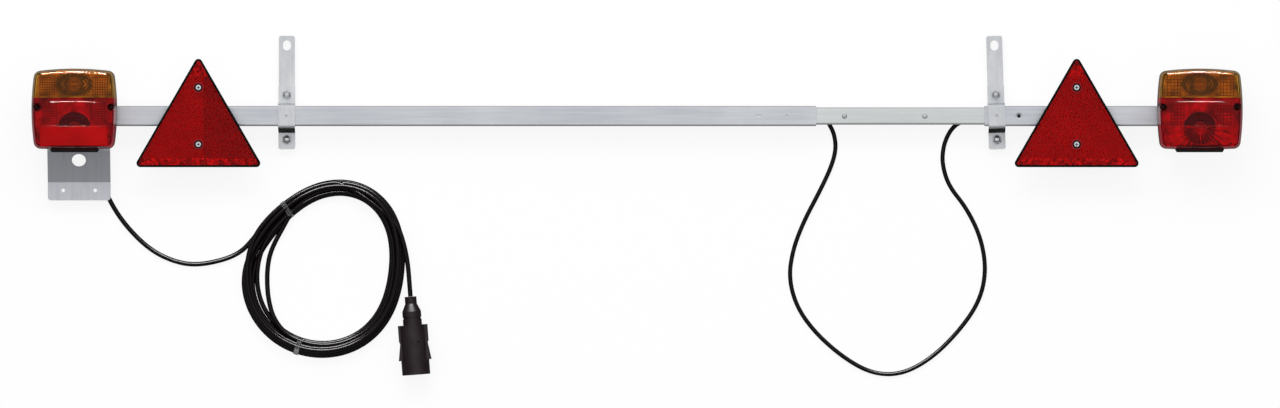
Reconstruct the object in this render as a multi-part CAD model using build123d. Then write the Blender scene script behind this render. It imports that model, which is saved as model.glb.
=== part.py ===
from build123d import *
import math
import os

# Telescopic trailer lighting bar, lying on its back with the lenses up. Millimetres and degrees.
# X runs along the bar, Y across it towards the hanger slots, and Z up from the floor.
# Every place below is measured from the bar's axis in Y and from a mark near its middle in X; the
# finished parts move together, so that the middle of the whole bar lies on the origin.

# Square tubes of the bar, and the channel that slides in the main one
BAR_SIDE = 25.0
BAR_WALL = 1.5
BAR_CORNER = 2.5
BAR_PAST_LAMP = 38.0
MAIN_MOUTH_X = 222.0
ARM_MOUTH_X = 433.0
SLIDE_CLEARANCE = 0.3
CHANNEL_SHEET = 1.5
CHANNEL_BEND = 1.2
CHANNEL_IN_MAIN = 500.0
CHANNEL_IN_ARM = 62.0
MAIN_HOLE_DIAMETER = 4.0
MAIN_HOLE_FROM_MOUTH = 37.0
MAIN_SLOT_LENGTH = 9.0
MAIN_SLOT_FROM_MOUTH = 72.0
ARM_HOLE_DIAMETER = 4.5
ARM_HOLE_SINK_DIAMETER = 8.5
ARM_HOLE_SINK = 1.0
ARM_HOLE_FROM_MOUTH = 42.5

# Blind rivets
RIVET_DIAMETER = 3.2
RIVET_HEAD_DIAMETER = 6.5
RIVET_HEAD = 1.6
RIVET_TAIL_DIAMETER = 4.6
RIVET_TAIL = 2.0
STOP_RIVET_FROM_MOUTH = 35.5
STOP_RIVET_PITCH = 100.5
ARM_RIVET_FROM_MOUTH = 14.0
ARM_RIVET_ABOVE_AXIS = 2.5
ARM_RIVET_HEAD = 0.7

# Clamps: a hanger strip behind the bar and a folded saddle over it, drawn together by two bolts
LEFT_CLAMP_X = -440.2
RIGHT_CLAMP_X = 447.9
RIGHT_CLAMP_LEAN = 1.6
STRIP_WIDTH = 20.0
STRIP_THICKNESS = 3.0
STRIP_CORNER = 3.0
STRIP_REACH_UP = 100.5
STRIP_REACH_DOWN = 41.5
HANGER_SLOT_WIDTH = 10.0
HANGER_SLOT_LENGTH = 12.5
HANGER_SLOT_Y = 88.5
SADDLE_WIDTH = 21.0
SADDLE_SHEET = 2.0
SADDLE_BEND = 2.3
SADDLE_CORNER = 3.0
SADDLE_REACH_UP = 37.6
SADDLE_FOOT_UP_Y = 14.6
SADDLE_FOOT_DOWN_Y = 19.0
SADDLE_CLEARANCE = 0.4
SADDLE_DIMPLE_DIAMETER = 4.0
CLAMP_BOLT_UP_Y = 26.5
CLAMP_BOLT_DOWN_Y = 29.3
CLAMP_BOLT_DIAMETER = 6.0
CLAMP_BOLT_ACROSS_FLATS = 10.0
CLAMP_BOLT_HEAD = 4.0
CLAMP_NUT = 5.0
CLAMP_BOLT_TAIL = 1.0
BOLT_CLEARANCE = 0.3
HEX_FLAT_SHARE = 0.92
HEX_CHAMFER = 30.0

# Rear lamps: black base, gasket, and a two-colour lens with bowed sides
LEFT_LAMP_X = -704.7
RIGHT_LAMP_X = 701.2
LAMP_Y = 8.6
LAMP_WIDTH = 107.0
LAMP_HEIGHT = 101.0
LAMP_SIDE_BOW = 3.75
LAMP_TOP_BOW = 3.5
LAMP_BOTTOM_BOW = 1.2
LAMP_CORNER = 9.0
BASE_INSET = 0.8
BASE_WALL = 2.5
BASE_FLOOR = 3.0
BASE_RIM = 15.0
BASE_FOOT_WIDTH = 65.0
BASE_FOOT_TAPER = 4.0
BASE_FOOT_REACH = 3.4
BASE_FOOT_HEIGHT = 12.0
GASKET = 1.0
LENS_WALL = 2.2
LENS_DRAFT = 3.5
LENS_EDGE = 2.5
AMBER_HEIGHT = 36.5
AMBER_RISE = 27.0
AMBER_FALL = 3.0
RED_STEP = 3.0
RED_BEVEL = 4.6
RED_RIDGE_FROM_BOTTOM = 29.0
RED_FALL = 3.5
RED_RIDGE_ROUND = 6.0
LENS_SCREW_FROM_SIDE = 7.2
LENS_SCREW_BELOW_SPLIT = 11.5
LENS_SCREW_DIAMETER = 4.0
LENS_SCREW_HEAD_DIAMETER = 7.4
LENS_SCREW_HEAD = 3.2
LENS_SCREW_SEAT = 21.0
LENS_SCREW_IN_BOSS = 9.0
LENS_POCKET_CLEARANCE = 0.8
LENS_POCKET_WALL = 1.6
SCREW_CLEARANCE = 0.2
BOSS_WALL = 2.4
LAMP_BOLT_SPREAD = 60.0
LAMP_BOLT_DIAMETER = 5.0
LAMP_BOLT_HEAD_DIAMETER = 9.0
LAMP_BOLT_HEAD = 3.2
LAMP_NUT = 4.0
LAMP_NUT_ACROSS_FLATS = 8.0
LAMP_BOLT_TAIL = 1.2
WIRE_HOLE_X = 17.0
WIRE_HOLE_CLEARANCE = 0.8

# Inside each lamp: a reflector tray with two bowls, and a bulb in its socket in each bowl
TRAY_SHEET = 1.5
TRAY_TOP = 12.0
TRAY_CLEARANCE = 0.4
AMBER_BOWL_FROM_TOP = 19.5
AMBER_BOWL_RADIUS = 15.0
RED_BOWL_FROM_BOTTOM = 26.5
RED_BOWL_RADIUS = 21.0
SOCKET_WALL = 1.8
SOCKET_HEIGHT = 13.0
BULB_CAP_DIAMETER = 15.0
BULB_CAP = 14.0
BULB_GLASS_DIAMETER = 18.0
BULB_LENGTH = 32.0
BULB_CLEARANCE = 0.2

# Number-plate light window in the left lamp's foot
WINDOW_WIDTH = 44.0
WINDOW_HEIGHT = 6.0
WINDOW_DEPTH = 2.5
WINDOW_CLEARANCE = 0.15

# Number-plate bracket, one folded sheet between the bar and the left lamp
BRACKET_OFFSET_X = 4.9
BRACKET_WIDTH = 78.5
BRACKET_SHEET = 1.5
BRACKET_BEND = 3.0
BRACKET_CORNER = 4.0
BRACKET_SLOPE_START_Y = -42.5
BRACKET_SLOPE_END_Y = -82.5
BRACKET_REACH = 105.5
BRACKET_DROP = 18.0
BRACKET_ACCESS_HOLE = 17.5
BRACKET_ACCESS_Y = -55.0
PLATE_HOLE_DIAMETER = 4.5
PLATE_HOLE_PITCH = 40.0
PLATE_HOLE_Y = -93.0

# Triangular reflectors on upright carrier strips
LEFT_REFLECTOR_X = -550.0
RIGHT_REFLECTOR_X = 547.5
REFLECTOR_SIDE = 162.0
REFLECTOR_CORNER = 5.0
REFLECTOR_BOTTOM_Y = -64.0
REFLECTOR_STANDOFF = 3.0
REFLECTOR_PLATE = 2.5
REFLECTOR_RIM = 1.5
REFLECTOR_LENS = 3.0
REFLECTOR_CLEARANCE = 0.15
REFLECTOR_BOSS_WALL = 0.9
REFLECTOR_SCREW_Y = 35.5
REFLECTOR_SCREW_DIAMETER = 5.0
REFLECTOR_SCREW_HEAD_DIAMETER = 8.5
REFLECTOR_SCREW_HEAD = 2.4
REFLECTOR_SCREW_RECESS = 9.3
REFLECTOR_NUT = 4.0
REFLECTOR_NUT_ACROSS_FLATS = 8.0
REFLECTOR_SCREW_TAIL = 1.0
CARRIER_WIDTH = 20.0
CARRIER_SHEET = 2.0
CARRIER_PAST_SCREW = 9.0
CARRIER_RIVET_Y = 6.5

# Cables, and the coil that the supply cable lies in
SUPPLY_DIAMETER = 6.0
LINK_DIAMETER = 5.5
ARC_SHARE = 0.45
GLAND_FROM_MIDDLE = 24.0
GLAND_FROM_BOTTOM = 13.5
GLAND_NECK_DIAMETER = 10.0
GLAND_FLANGE_DIAMETER = 14.0
GLAND_FLANGE = 2.0
GLAND_END_Z = 28.0
GLAND_CLEARANCE = 0.2
COIL_X = -391.3
COIL_Y = -192.2
COIL_HALF_LENGTH = 113.7
COIL_HALF_WIDTH = 98.7
COIL_TILT = 61.0
COIL_BAND = 22.0
COIL_HEIGHT = 16.0
COIL_ROUND = 5.0
WIRE_Y = -3.6
WIRE_FLOOR_GAP = 0.35
WIRE_BOLT_GAP = 0.95
WIRE_PAST_BOLT = 20.0
WIRE_SHIFT = 20.0
WIRE_END = 2.0

# Seven-pin plug, measured along its own axis from the cable end
PLUG_X = -285.3
PLUG_Y = -225.9
PLUG_TURN = 4.3
PLUG_APPROACH = 24.0
BOOT_DIAMETER = 14.7
BOOT_STRAIGHT = 9.0
BOOT_CONE = 9.6
COLLAR_DIAMETER = 23.5
COLLAR_LENGTH = 17.0
COLLAR_GROOVE = 0.8
COLLAR_GROOVE_WIDTH = 2.5
SHELL_DIAMETER = 32.0
SHELL_LENGTH = 44.0
EAR_REAR_SPAN = 37.0
EAR_REAR_LENGTH = 20.0
EAR_STEP = 3.0
EAR_WAIST_SPAN = 34.5
EAR_FRONT_SPAN = 41.0
EAR_THICKNESS = 14.0
FLAP_RISE = 1.0
FLAP_REAR_X = -12.0
FLAP_EDGE_X = 3.0
FLAP_SWEEP = 16.0
SKIRT_DIAMETER = 35.0
SKIRT_LENGTH = 18.3
SKIRT_WALL = 2.4
INSERT_THICKNESS = 8.0
PIN_DIAMETER = 4.8
PIN_LENGTH = 16.0
PIN_CIRCLE = 18.5
PIN_RECESS = 6.5
RING_PIN_COUNT = 6
PLUG_SCREW_ALONG = 57.0
PLUG_SCREW_X = 6.5
PLUG_SCREW_DIAMETER = 4.0
PLUG_SCREW_DEPTH = 5.0
PLUG_SCREW_LENGTH = 3.0

# Heights and places that follow from the sizes above
STRIP_BACK_Z = CLAMP_BOLT_TAIL + CLAMP_NUT
BAR_BACK_Z = STRIP_BACK_Z + STRIP_THICKNESS
BAR_AXIS_Z = BAR_BACK_Z + BAR_SIDE / 2
BAR_FRONT_Z = BAR_BACK_Z + BAR_SIDE
BAR_BORE = BAR_SIDE - 2 * BAR_WALL
BAR_Y = (BRACKET_REACH - STRIP_REACH_UP) / 2
MIDDLE_X = (LEFT_LAMP_X + RIGHT_LAMP_X) / 2
CHANNEL_SIDE = BAR_BORE - 2 * SLIDE_CLEARANCE
CHANNEL_FRONT_Z = BAR_FRONT_Z - BAR_WALL - SLIDE_CLEARANCE
CHANNEL_BACK_Z = CHANNEL_FRONT_Z - CHANNEL_SIDE
LENS_SEAT = BASE_RIM + GASKET
LENS_SPLIT_Y = LAMP_HEIGHT / 2 - AMBER_HEIGHT
RED_RIDGE_Y = RED_RIDGE_FROM_BOTTOM - LAMP_HEIGHT / 2
LENS_SCREW_X = LAMP_WIDTH / 2 - LENS_SCREW_FROM_SIDE
LENS_SCREW_Y = LENS_SPLIT_Y - LENS_SCREW_BELOW_SPLIT
AMBER_BOWL_Y = LAMP_HEIGHT / 2 - AMBER_BOWL_FROM_TOP
RED_BOWL_Y = RED_BOWL_FROM_BOTTOM - LAMP_HEIGHT / 2
GLAND_X = LEFT_LAMP_X + GLAND_FROM_MIDDLE
GLAND_Y = LAMP_Y + GLAND_FROM_BOTTOM - LAMP_HEIGHT / 2
TRAY_INSET = BASE_INSET + BASE_WALL + TRAY_CLEARANCE
SOCKET_RADIUS = BULB_CAP_DIAMETER / 2 + BULB_CLEARANCE + SOCKET_WALL
BOWL_FOOT_RADIUS = SOCKET_RADIUS + TRAY_CLEARANCE + TRAY_SHEET
BOSS_RADIUS = LENS_SCREW_DIAMETER / 2 + SCREW_CLEARANCE + BOSS_WALL
WIRE_Z = BAR_BACK_Z + BAR_WALL + WIRE_FLOOR_GAP + LINK_DIAMETER / 2
WIRE_HOLE_RADIUS = LINK_DIAMETER / 2 + WIRE_HOLE_CLEARANCE
WIRE_BOLT_Y = -(LAMP_BOLT_DIAMETER + LINK_DIAMETER) / 2 - WIRE_BOLT_GAP
CARRIER_FRONT_Z = BAR_FRONT_Z + CARRIER_SHEET
PLUG_AXIS_Z = SKIRT_DIAMETER / 2
PLUG_ALONG = Vector(math.sin(math.radians(PLUG_TURN)), -math.cos(math.radians(PLUG_TURN)), 0)
PLUG_END = Vector(PLUG_X, PLUG_Y, PLUG_AXIS_Z)
SKIRT_BORE = SKIRT_DIAMETER - 2 * SKIRT_WALL
COLLAR_START = BOOT_STRAIGHT + BOOT_CONE
SHELL_START = COLLAR_START + COLLAR_LENGTH
SKIRT_START = SHELL_START + SHELL_LENGTH
PLUG_LENGTH = SKIRT_START + SKIRT_LENGTH

# Cable routes in X, Y from the bar's axis, and Z
SUPPLY_ROUTE = [
    (GLAND_X, GLAND_Y, GLAND_END_Z),
    (GLAND_X, GLAND_Y, 20.0),
    (-680.0, -32.8, 11.5),
    (-678.2, -40.6, 6.0),
    (-676.5, -54.0, 3.6),
    (-673.5, -75.0, 3.2),
    (-664.2, -103.0, 3.2),
    (-643.0, -136.5, 3.2),
    (-611.5, -167.7, 3.2),
    (-580.2, -182.7, 3.2),
    (-552.8, -186.6, 3.2),
    (-522.0, -178.8, 3.2),
    (-481.0, -154.5, 3.6),
]
PLUG_ROUTE = [
    (-321.0, -112.0, 9.0),
    (-303.5, -131.0, 9.5),
    (-293.5, -159.0, 12.5),
    tuple(PLUG_END - PLUG_ALONG * PLUG_APPROACH),
    tuple(PLUG_END),
]
LINK_ROUTE = [
    (MAIN_MOUTH_X, WIRE_Y, WIRE_Z),
    (229.0, WIRE_Y, WIRE_Z),
    (234.5, -4.6, 8.0),
    (239.3, -10.8, 3.6),
    (245.0, -22.4, 3.0),
    (247.4, -40.3, 3.0),
    (241.9, -62.2, 3.0),
    (227.9, -92.1, 3.0),
    (206.5, -132.4, 3.0),
    (193.1, -167.7, 3.0),
    (188.1, -202.6, 3.0),
    (198.1, -239.4, 3.0),
    (222.0, -272.2, 3.0),
    (256.8, -302.6, 3.0),
    (292.6, -322.5, 3.0),
    (329.4, -323.5, 3.0),
    (367.2, -303.1, 3.0),
    (402.1, -268.2, 3.0),
    (427.0, -231.9, 3.0),
    (435.4, -193.6, 3.0),
    (429.0, -152.8, 3.0),
    (411.0, -115.5, 3.0),
    (388.1, -87.1, 3.0),
    (380.2, -60.2, 3.0),
    (381.2, -40.3, 3.0),
    (386.6, -24.4, 3.0),
    (394.6, -12.8, 3.6),
    (405.0, -6.5, 7.5),
    (416.0, -3.7, 12.0),
    (425.0, WIRE_Y, WIRE_Z),
    (ARM_MOUTH_X, WIRE_Y, WIRE_Z),
]


def save(name, shape):
    """Move a finished piece from the bar's axis and mark to the frame and write it as its own file."""
    export_step(Pos(-MIDDLE_X, BAR_Y, 0) * shape, os.path.join("parts", name + ".step"))


def peg(x, y, low, high, diameter):
    """Upright round bar between two heights."""
    return Pos(x, y, low) * extrude(Circle(diameter / 2), high - low)


def hexagon(x, y, low, high, across_flats):
    """Upright hexagon between two heights, with a corner towards -Y."""
    corner_radius = across_flats / math.sqrt(3)
    return Pos(x, y, low) * extrude(RegularPolygon(corner_radius, 6, rotation=30), high - low)


def hex_head(x, y, low, high, across_flats):
    """Upright hexagon whose upper corners are turned off to a cone."""
    height = high - low
    top = across_flats / 2 * HEX_FLAT_SHARE
    bottom = top + height / math.tan(math.radians(HEX_CHAMFER))
    turned = Pos(x, y, low + height / 2) * Cone(bottom, top, height)
    return hexagon(x, y, low, high, across_flats) & turned


def dome(x, y, low, height, diameter):
    """Shallow round head whose flat underside lies at one height."""
    radius = (diameter ** 2 / 4 + height ** 2) / (2 * height)
    ball = Pos(x, y, low + height - radius) * Sphere(radius)
    return ball & peg(x, y, low, low + height, diameter)


def blind_rivet(grip, head=RIVET_HEAD):
    """Rivet on the Z axis: domed head above z = 0, shank through the grip and a swollen tail."""
    shank = peg(0, 0, -grip, 0, RIVET_DIAMETER)
    tail = peg(0, 0, -grip - RIVET_TAIL, -grip, RIVET_TAIL_DIAMETER)
    return dome(0, 0, 0, head, RIVET_HEAD_DIAMETER) + shank + tail


def folded_sheet(points, bend, thickness, width):
    """Sheet folded along points given as (Y, Z), its thickness to the left, centred on X = 0."""
    path = FilletPolyline(*points, radius=bend)
    section = make_face(offset(path, thickness, side=Side.LEFT))
    return extrude(Plane.YZ * section, width / 2, both=True)


def cord(name, points, diameter):
    """Round cable along straight runs joined by the largest tangent arcs that the runs leave room for."""
    radii = []
    for before, at, after in zip(points, points[1:], points[2:]):
        arriving = Vector(at) - Vector(before)
        leaving = Vector(after) - Vector(at)
        half_turn = math.radians(arriving.get_angle(leaving)) / 2
        radii.append(ARC_SHARE * min(arriving.length, leaving.length) / math.tan(half_turn))
    path = FilletPolyline(*points, radius=radii)
    cable = sweep(Plane(origin=path @ 0, z_dir=path % 0) * Circle(diameter / 2), path=path)
    share = cable.volume / (math.pi * diameter ** 2 / 4 * path.length)
    print(f"{name}: {path.length:.0f} mm long, volume share {share:.4f}, radii {[round(r) for r in radii]}")
    return cable


def square_tube(start, end):
    """Square tube of the bar between two stations along X, open at both ends."""
    outside = RectangleRounded(BAR_SIDE, BAR_SIDE, BAR_CORNER)
    bore = RectangleRounded(BAR_BORE, BAR_BORE, BAR_CORNER - BAR_WALL)
    section = Pos(0, BAR_AXIS_Z) * (outside - bore)
    return extrude(Plane.YZ.offset(start) * section, end - start)


def carrier_rivets(x):
    """The two rivets that hold a reflector's carrier strip to the front of the bar."""
    rivet = blind_rivet(CARRIER_SHEET + BAR_WALL)
    return [Pos(x, y, CARRIER_FRONT_Z) * rivet for y in (-CARRIER_RIVET_Y, CARRIER_RIVET_Y)]


def bar_holes(lamp_x, reflector_x):
    """What is drilled through a tube under one lamp and one reflector."""
    drilled = []
    for side in (-1, 1):
        bolt_x = lamp_x + side * LAMP_BOLT_SPREAD / 2
        drilled.append(peg(bolt_x, 0, BAR_BACK_Z, BAR_FRONT_Z, LAMP_BOLT_DIAMETER + BOLT_CLEARANCE))
        rivet_y = side * CARRIER_RIVET_Y
        drilled.append(peg(reflector_x, rivet_y, BAR_AXIS_Z, BAR_FRONT_Z, RIVET_DIAMETER))
    wire_x = lamp_x + WIRE_HOLE_X
    drilled.append(peg(wire_x, WIRE_BOLT_Y, BAR_AXIS_Z, BAR_FRONT_Z, 2 * WIRE_HOLE_RADIUS))
    return drilled


def arm_rivets():
    """Rivets through the side walls that hold the channel in the arm, low enough to go under the saddle."""
    grip = BAR_WALL + SLIDE_CLEARANCE + CHANNEL_SHEET
    place = Pos(ARM_MOUTH_X + ARM_RIVET_FROM_MOUTH, 0, BAR_AXIS_Z + ARM_RIVET_ABOVE_AXIS)
    rivet = Pos(0, 0, BAR_SIDE / 2) * blind_rivet(grip, ARM_RIVET_HEAD)
    return [place * Rot(turn, 0, 0) * rivet for turn in (-90, 90)]


def build_bar():
    """Main tube, arm tube, the channel between them and their rivets."""
    main = square_tube(LEFT_LAMP_X - BAR_PAST_LAMP, MAIN_MOUTH_X)
    main -= bar_holes(LEFT_LAMP_X, LEFT_REFLECTOR_X)
    hole_x = MAIN_MOUTH_X - MAIN_HOLE_FROM_MOUTH
    main -= peg(hole_x, 0, BAR_AXIS_Z, BAR_FRONT_Z, MAIN_HOLE_DIAMETER)
    slot = extrude(SlotOverall(MAIN_SLOT_LENGTH, MAIN_HOLE_DIAMETER), BAR_SIDE / 2)
    main -= Pos(MAIN_MOUTH_X - MAIN_SLOT_FROM_MOUTH, 0, BAR_AXIS_Z) * slot
    save("main_tube", main)

    side_rivets = arm_rivets()
    arm_hole_x = ARM_MOUTH_X + ARM_HOLE_FROM_MOUTH
    arm_hole = peg(arm_hole_x, 0, BAR_AXIS_Z, BAR_FRONT_Z, ARM_HOLE_DIAMETER)
    sink = Cone(ARM_HOLE_DIAMETER / 2, ARM_HOLE_SINK_DIAMETER / 2, ARM_HOLE_SINK)
    arm = square_tube(ARM_MOUTH_X, RIGHT_LAMP_X + BAR_PAST_LAMP)
    arm -= bar_holes(RIGHT_LAMP_X, RIGHT_REFLECTOR_X)
    arm -= [arm_hole, Pos(arm_hole_x, 0, BAR_FRONT_Z - ARM_HOLE_SINK / 2) * sink]
    arm -= side_rivets
    save("arm_tube", arm)

    start = MAIN_MOUTH_X - CHANNEL_IN_MAIN
    end = ARM_MOUTH_X + CHANNEL_IN_ARM
    half = CHANNEL_SIDE / 2 - CHANNEL_SHEET
    web = CHANNEL_FRONT_Z - CHANNEL_SHEET
    profile = [(-half, CHANNEL_BACK_Z), (-half, web), (half, web), (half, CHANNEL_BACK_Z)]
    channel = folded_sheet(profile, CHANNEL_BEND, CHANNEL_SHEET, end - start)
    channel = Pos((start + end) / 2, 0, 0) * channel
    first = MAIN_MOUTH_X + STOP_RIVET_FROM_MOUTH
    places = [Pos(first + step * STOP_RIVET_PITCH, 0, CHANNEL_FRONT_Z) for step in (0, 1)]
    stop_rivets = [place * blind_rivet(CHANNEL_SHEET) for place in places]
    channel -= stop_rivets
    channel -= side_rivets
    channel -= arm_hole
    save("slide_channel", channel)
    save("stop_rivets", Compound(stop_rivets))
    save("arm_rivets", Compound(side_rivets))


def build_clamp(side, x, lean):
    """Hanger strip, saddle, bolts and nuts of one clamp."""
    turn = Pos(x, 0, 0) * Rot(0, 0, lean)
    bolt_places = (-CLAMP_BOLT_DOWN_Y, CLAMP_BOLT_UP_Y)
    bolt_hole = CLAMP_BOLT_DIAMETER + BOLT_CLEARANCE

    length = STRIP_REACH_UP + STRIP_REACH_DOWN
    middle = (STRIP_REACH_UP - STRIP_REACH_DOWN) / 2
    outline = Pos(0, middle) * RectangleRounded(STRIP_WIDTH, length, STRIP_CORNER)
    slot = Rot(0, 0, 90) * SlotOverall(HANGER_SLOT_LENGTH, HANGER_SLOT_WIDTH)
    outline -= Pos(0, HANGER_SLOT_Y) * slot
    outline -= [Pos(0, y) * Circle(bolt_hole / 2) for y in bolt_places]
    strip = Pos(0, 0, STRIP_BACK_Z) * extrude(outline, STRIP_THICKNESS)
    save(f"{side}_hanger_strip", turn * strip)

    lean_room = SADDLE_WIDTH / 2 * math.tan(math.radians(abs(lean)))
    half = BAR_SIDE / 2 + SADDLE_CLEARANCE + lean_room
    profile = [
        (-STRIP_REACH_DOWN, BAR_BACK_Z),
        (-SADDLE_FOOT_DOWN_Y, BAR_BACK_Z),
        (-half, BAR_FRONT_Z),
        (half, BAR_FRONT_Z),
        (SADDLE_FOOT_UP_Y, BAR_BACK_Z),
        (SADDLE_REACH_UP, BAR_BACK_Z),
    ]
    saddle = folded_sheet(profile, SADDLE_BEND, SADDLE_SHEET, SADDLE_WIDTH)
    saddle = fillet(saddle.edges().filter_by(Axis.Z).group_by(Axis.Y)[0], SADDLE_CORNER)
    saddle -= [peg(0, y, BAR_BACK_Z, BAR_BACK_Z + SADDLE_SHEET, bolt_hole) for y in bolt_places]
    saddle -= peg(0, 0, BAR_FRONT_Z, BAR_FRONT_Z + SADDLE_SHEET, SADDLE_DIMPLE_DIAMETER)
    save(f"{side}_saddle", turn * saddle)

    seat = BAR_BACK_Z + SADDLE_SHEET
    bolts = []
    nuts = []
    for y in bolt_places:
        shank = peg(0, y, 0, seat, CLAMP_BOLT_DIAMETER)
        head = hex_head(0, y, seat, seat + CLAMP_BOLT_HEAD, CLAMP_BOLT_ACROSS_FLATS)
        bolts.append(turn * (shank + head))
        nut = hexagon(0, y, CLAMP_BOLT_TAIL, STRIP_BACK_Z, CLAMP_BOLT_ACROSS_FLATS)
        nuts.append(turn * (nut - peg(0, y, CLAMP_BOLT_TAIL, STRIP_BACK_Z, CLAMP_BOLT_DIAMETER)))
    save(f"{side}_clamp_bolts", Compound(bolts))
    save(f"{side}_clamp_nuts", Compound(nuts))


def build_plate_bracket():
    """Folded number-plate bracket, flat behind the lamp, sloping down to the plate flange."""
    flange = BAR_FRONT_Z - BRACKET_DROP
    profile = [
        (-BRACKET_REACH, flange),
        (BRACKET_SLOPE_END_Y, flange),
        (BRACKET_SLOPE_START_Y, BAR_FRONT_Z),
        (BAR_SIDE / 2, BAR_FRONT_Z),
    ]
    sheet = folded_sheet(profile, BRACKET_BEND, BRACKET_SHEET, BRACKET_WIDTH)
    sheet = fillet(sheet.edges().filter_by(Axis.Z).group_by(Axis.Y)[0], BRACKET_CORNER)
    for hole_x in (-PLATE_HOLE_PITCH / 2, PLATE_HOLE_PITCH / 2):
        sheet -= peg(hole_x, PLATE_HOLE_Y, flange, flange + BRACKET_SHEET, PLATE_HOLE_DIAMETER)
    slope = math.degrees(math.atan2(BRACKET_DROP, BRACKET_SLOPE_START_Y - BRACKET_SLOPE_END_Y))
    fall = BRACKET_SLOPE_START_Y - BRACKET_ACCESS_Y
    access = Pos(0, BRACKET_ACCESS_Y, BAR_FRONT_Z - fall * math.tan(math.radians(slope)))
    sheet -= access * Rot(slope, 0, 0) * peg(0, 0, 0, BRACKET_SHEET, BRACKET_ACCESS_HOLE)
    sheet = Pos(LEFT_LAMP_X + BRACKET_OFFSET_X, 0, 0) * sheet
    top = BAR_FRONT_Z + BRACKET_SHEET
    for bolt_x in (LEFT_LAMP_X - LAMP_BOLT_SPREAD / 2, LEFT_LAMP_X + LAMP_BOLT_SPREAD / 2):
        sheet -= peg(bolt_x, 0, BAR_FRONT_Z, top, LAMP_BOLT_DIAMETER + BOLT_CLEARANCE)
    sheet -= peg(LEFT_LAMP_X + WIRE_HOLE_X, WIRE_BOLT_Y, BAR_FRONT_Z, top, 2 * WIRE_HOLE_RADIUS)
    gland_hole = GLAND_NECK_DIAMETER + GLAND_CLEARANCE
    sheet -= peg(GLAND_X, GLAND_Y, BAR_FRONT_Z, top, gland_hole)
    save("plate_bracket", sheet)


def lamp_outline(inset):
    """Lamp outline about its middle, drawn in all round by the inset: four bowed sides and round corners."""
    half_width = LAMP_WIDTH / 2 - inset
    half_height = LAMP_HEIGHT / 2 - inset
    side = half_width - LAMP_SIDE_BOW
    top = half_height - LAMP_TOP_BOW
    bottom = LAMP_BOTTOM_BOW - half_height
    outline = [
        ThreePointArc((-side, bottom), (-half_width, 0), (-side, top)),
        ThreePointArc((-side, top), (0, half_height), (side, top)),
        ThreePointArc((side, top), (half_width, 0), (side, bottom)),
        ThreePointArc((side, bottom), (0, -half_height), (-side, bottom)),
    ]
    face = make_face(Curve() + outline)
    return fillet(face.vertices(), LAMP_CORNER - inset)


def lamp_prism(inset, low, high):
    """Upright solid on the lamp outline."""
    return Pos(0, 0, low) * extrude(lamp_outline(inset), high - low)


def side_profile(points, fillets, radius):
    """Solid as wide as the lamp from a side view given as (Y, Z), rounded at the listed points."""
    section = make_face(Polyline(*points, close=True))
    if fillets:
        rounded = [min(section.vertices(), key=lambda v: (Vector(v) - Vector(*p)).length) for p in fillets]
        section = fillet(rounded, radius)
    return extrude(Plane.YZ * section, LAMP_WIDTH, both=True)


def lens_body(points, fillets, inset, rise):
    """Drafted lamp outline cut to a side view of one lens colour."""
    low = LENS_SEAT
    high = LENS_SEAT + rise
    bottom = Pos(0, 0, low) * lamp_outline(inset)
    top = Pos(0, 0, high) * lamp_outline(inset + LENS_DRAFT)
    return loft([bottom, top], ruled=True) & side_profile(points, fillets, RED_RIDGE_ROUND)


def lens_views(wall):
    """Side views of the amber and red lens, with their fronts lowered by the wall."""
    far = LAMP_HEIGHT
    amber_high = LENS_SEAT + AMBER_RISE - wall
    red_high = amber_high + RED_STEP
    amber_slope = AMBER_FALL / (LAMP_HEIGHT / 2 - LENS_SPLIT_Y)
    red_slope = RED_FALL / (LAMP_HEIGHT / 2 + RED_RIDGE_Y)
    amber = [
        (LENS_SPLIT_Y, LENS_SEAT),
        (far, LENS_SEAT),
        (far, amber_high - amber_slope * (far - LENS_SPLIT_Y)),
        (LENS_SPLIT_Y, amber_high),
    ]
    ridges = [(LENS_SPLIT_Y - RED_BEVEL, red_high), (RED_RIDGE_Y, red_high)]
    red = [
        (LENS_SPLIT_Y, LENS_SEAT),
        (LENS_SPLIT_Y, amber_high),
        *ridges,
        (-far, red_high - red_slope * (far + RED_RIDGE_Y)),
        (-far, LENS_SEAT),
    ]
    return amber, red, ridges


def faces_forward(face):
    """Whether a face of a lens looks up more than sideways."""
    normal = face.normal_at()
    return normal.Z > max(abs(normal.X), abs(normal.Y))


def front_edges(body, split_face):
    """Edges between the front of a lens and its side walls, without the one where the colours meet."""
    walls = [face for face in body.faces() if not faces_forward(face) and not face.is_same(split_face)]
    wall_edges = ShapeList(edge for face in walls for edge in face.edges())
    fronts = [face for face in body.faces() if faces_forward(face)]
    return [edge for face in fronts for edge in face.edges() if edge in wall_edges]


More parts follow.
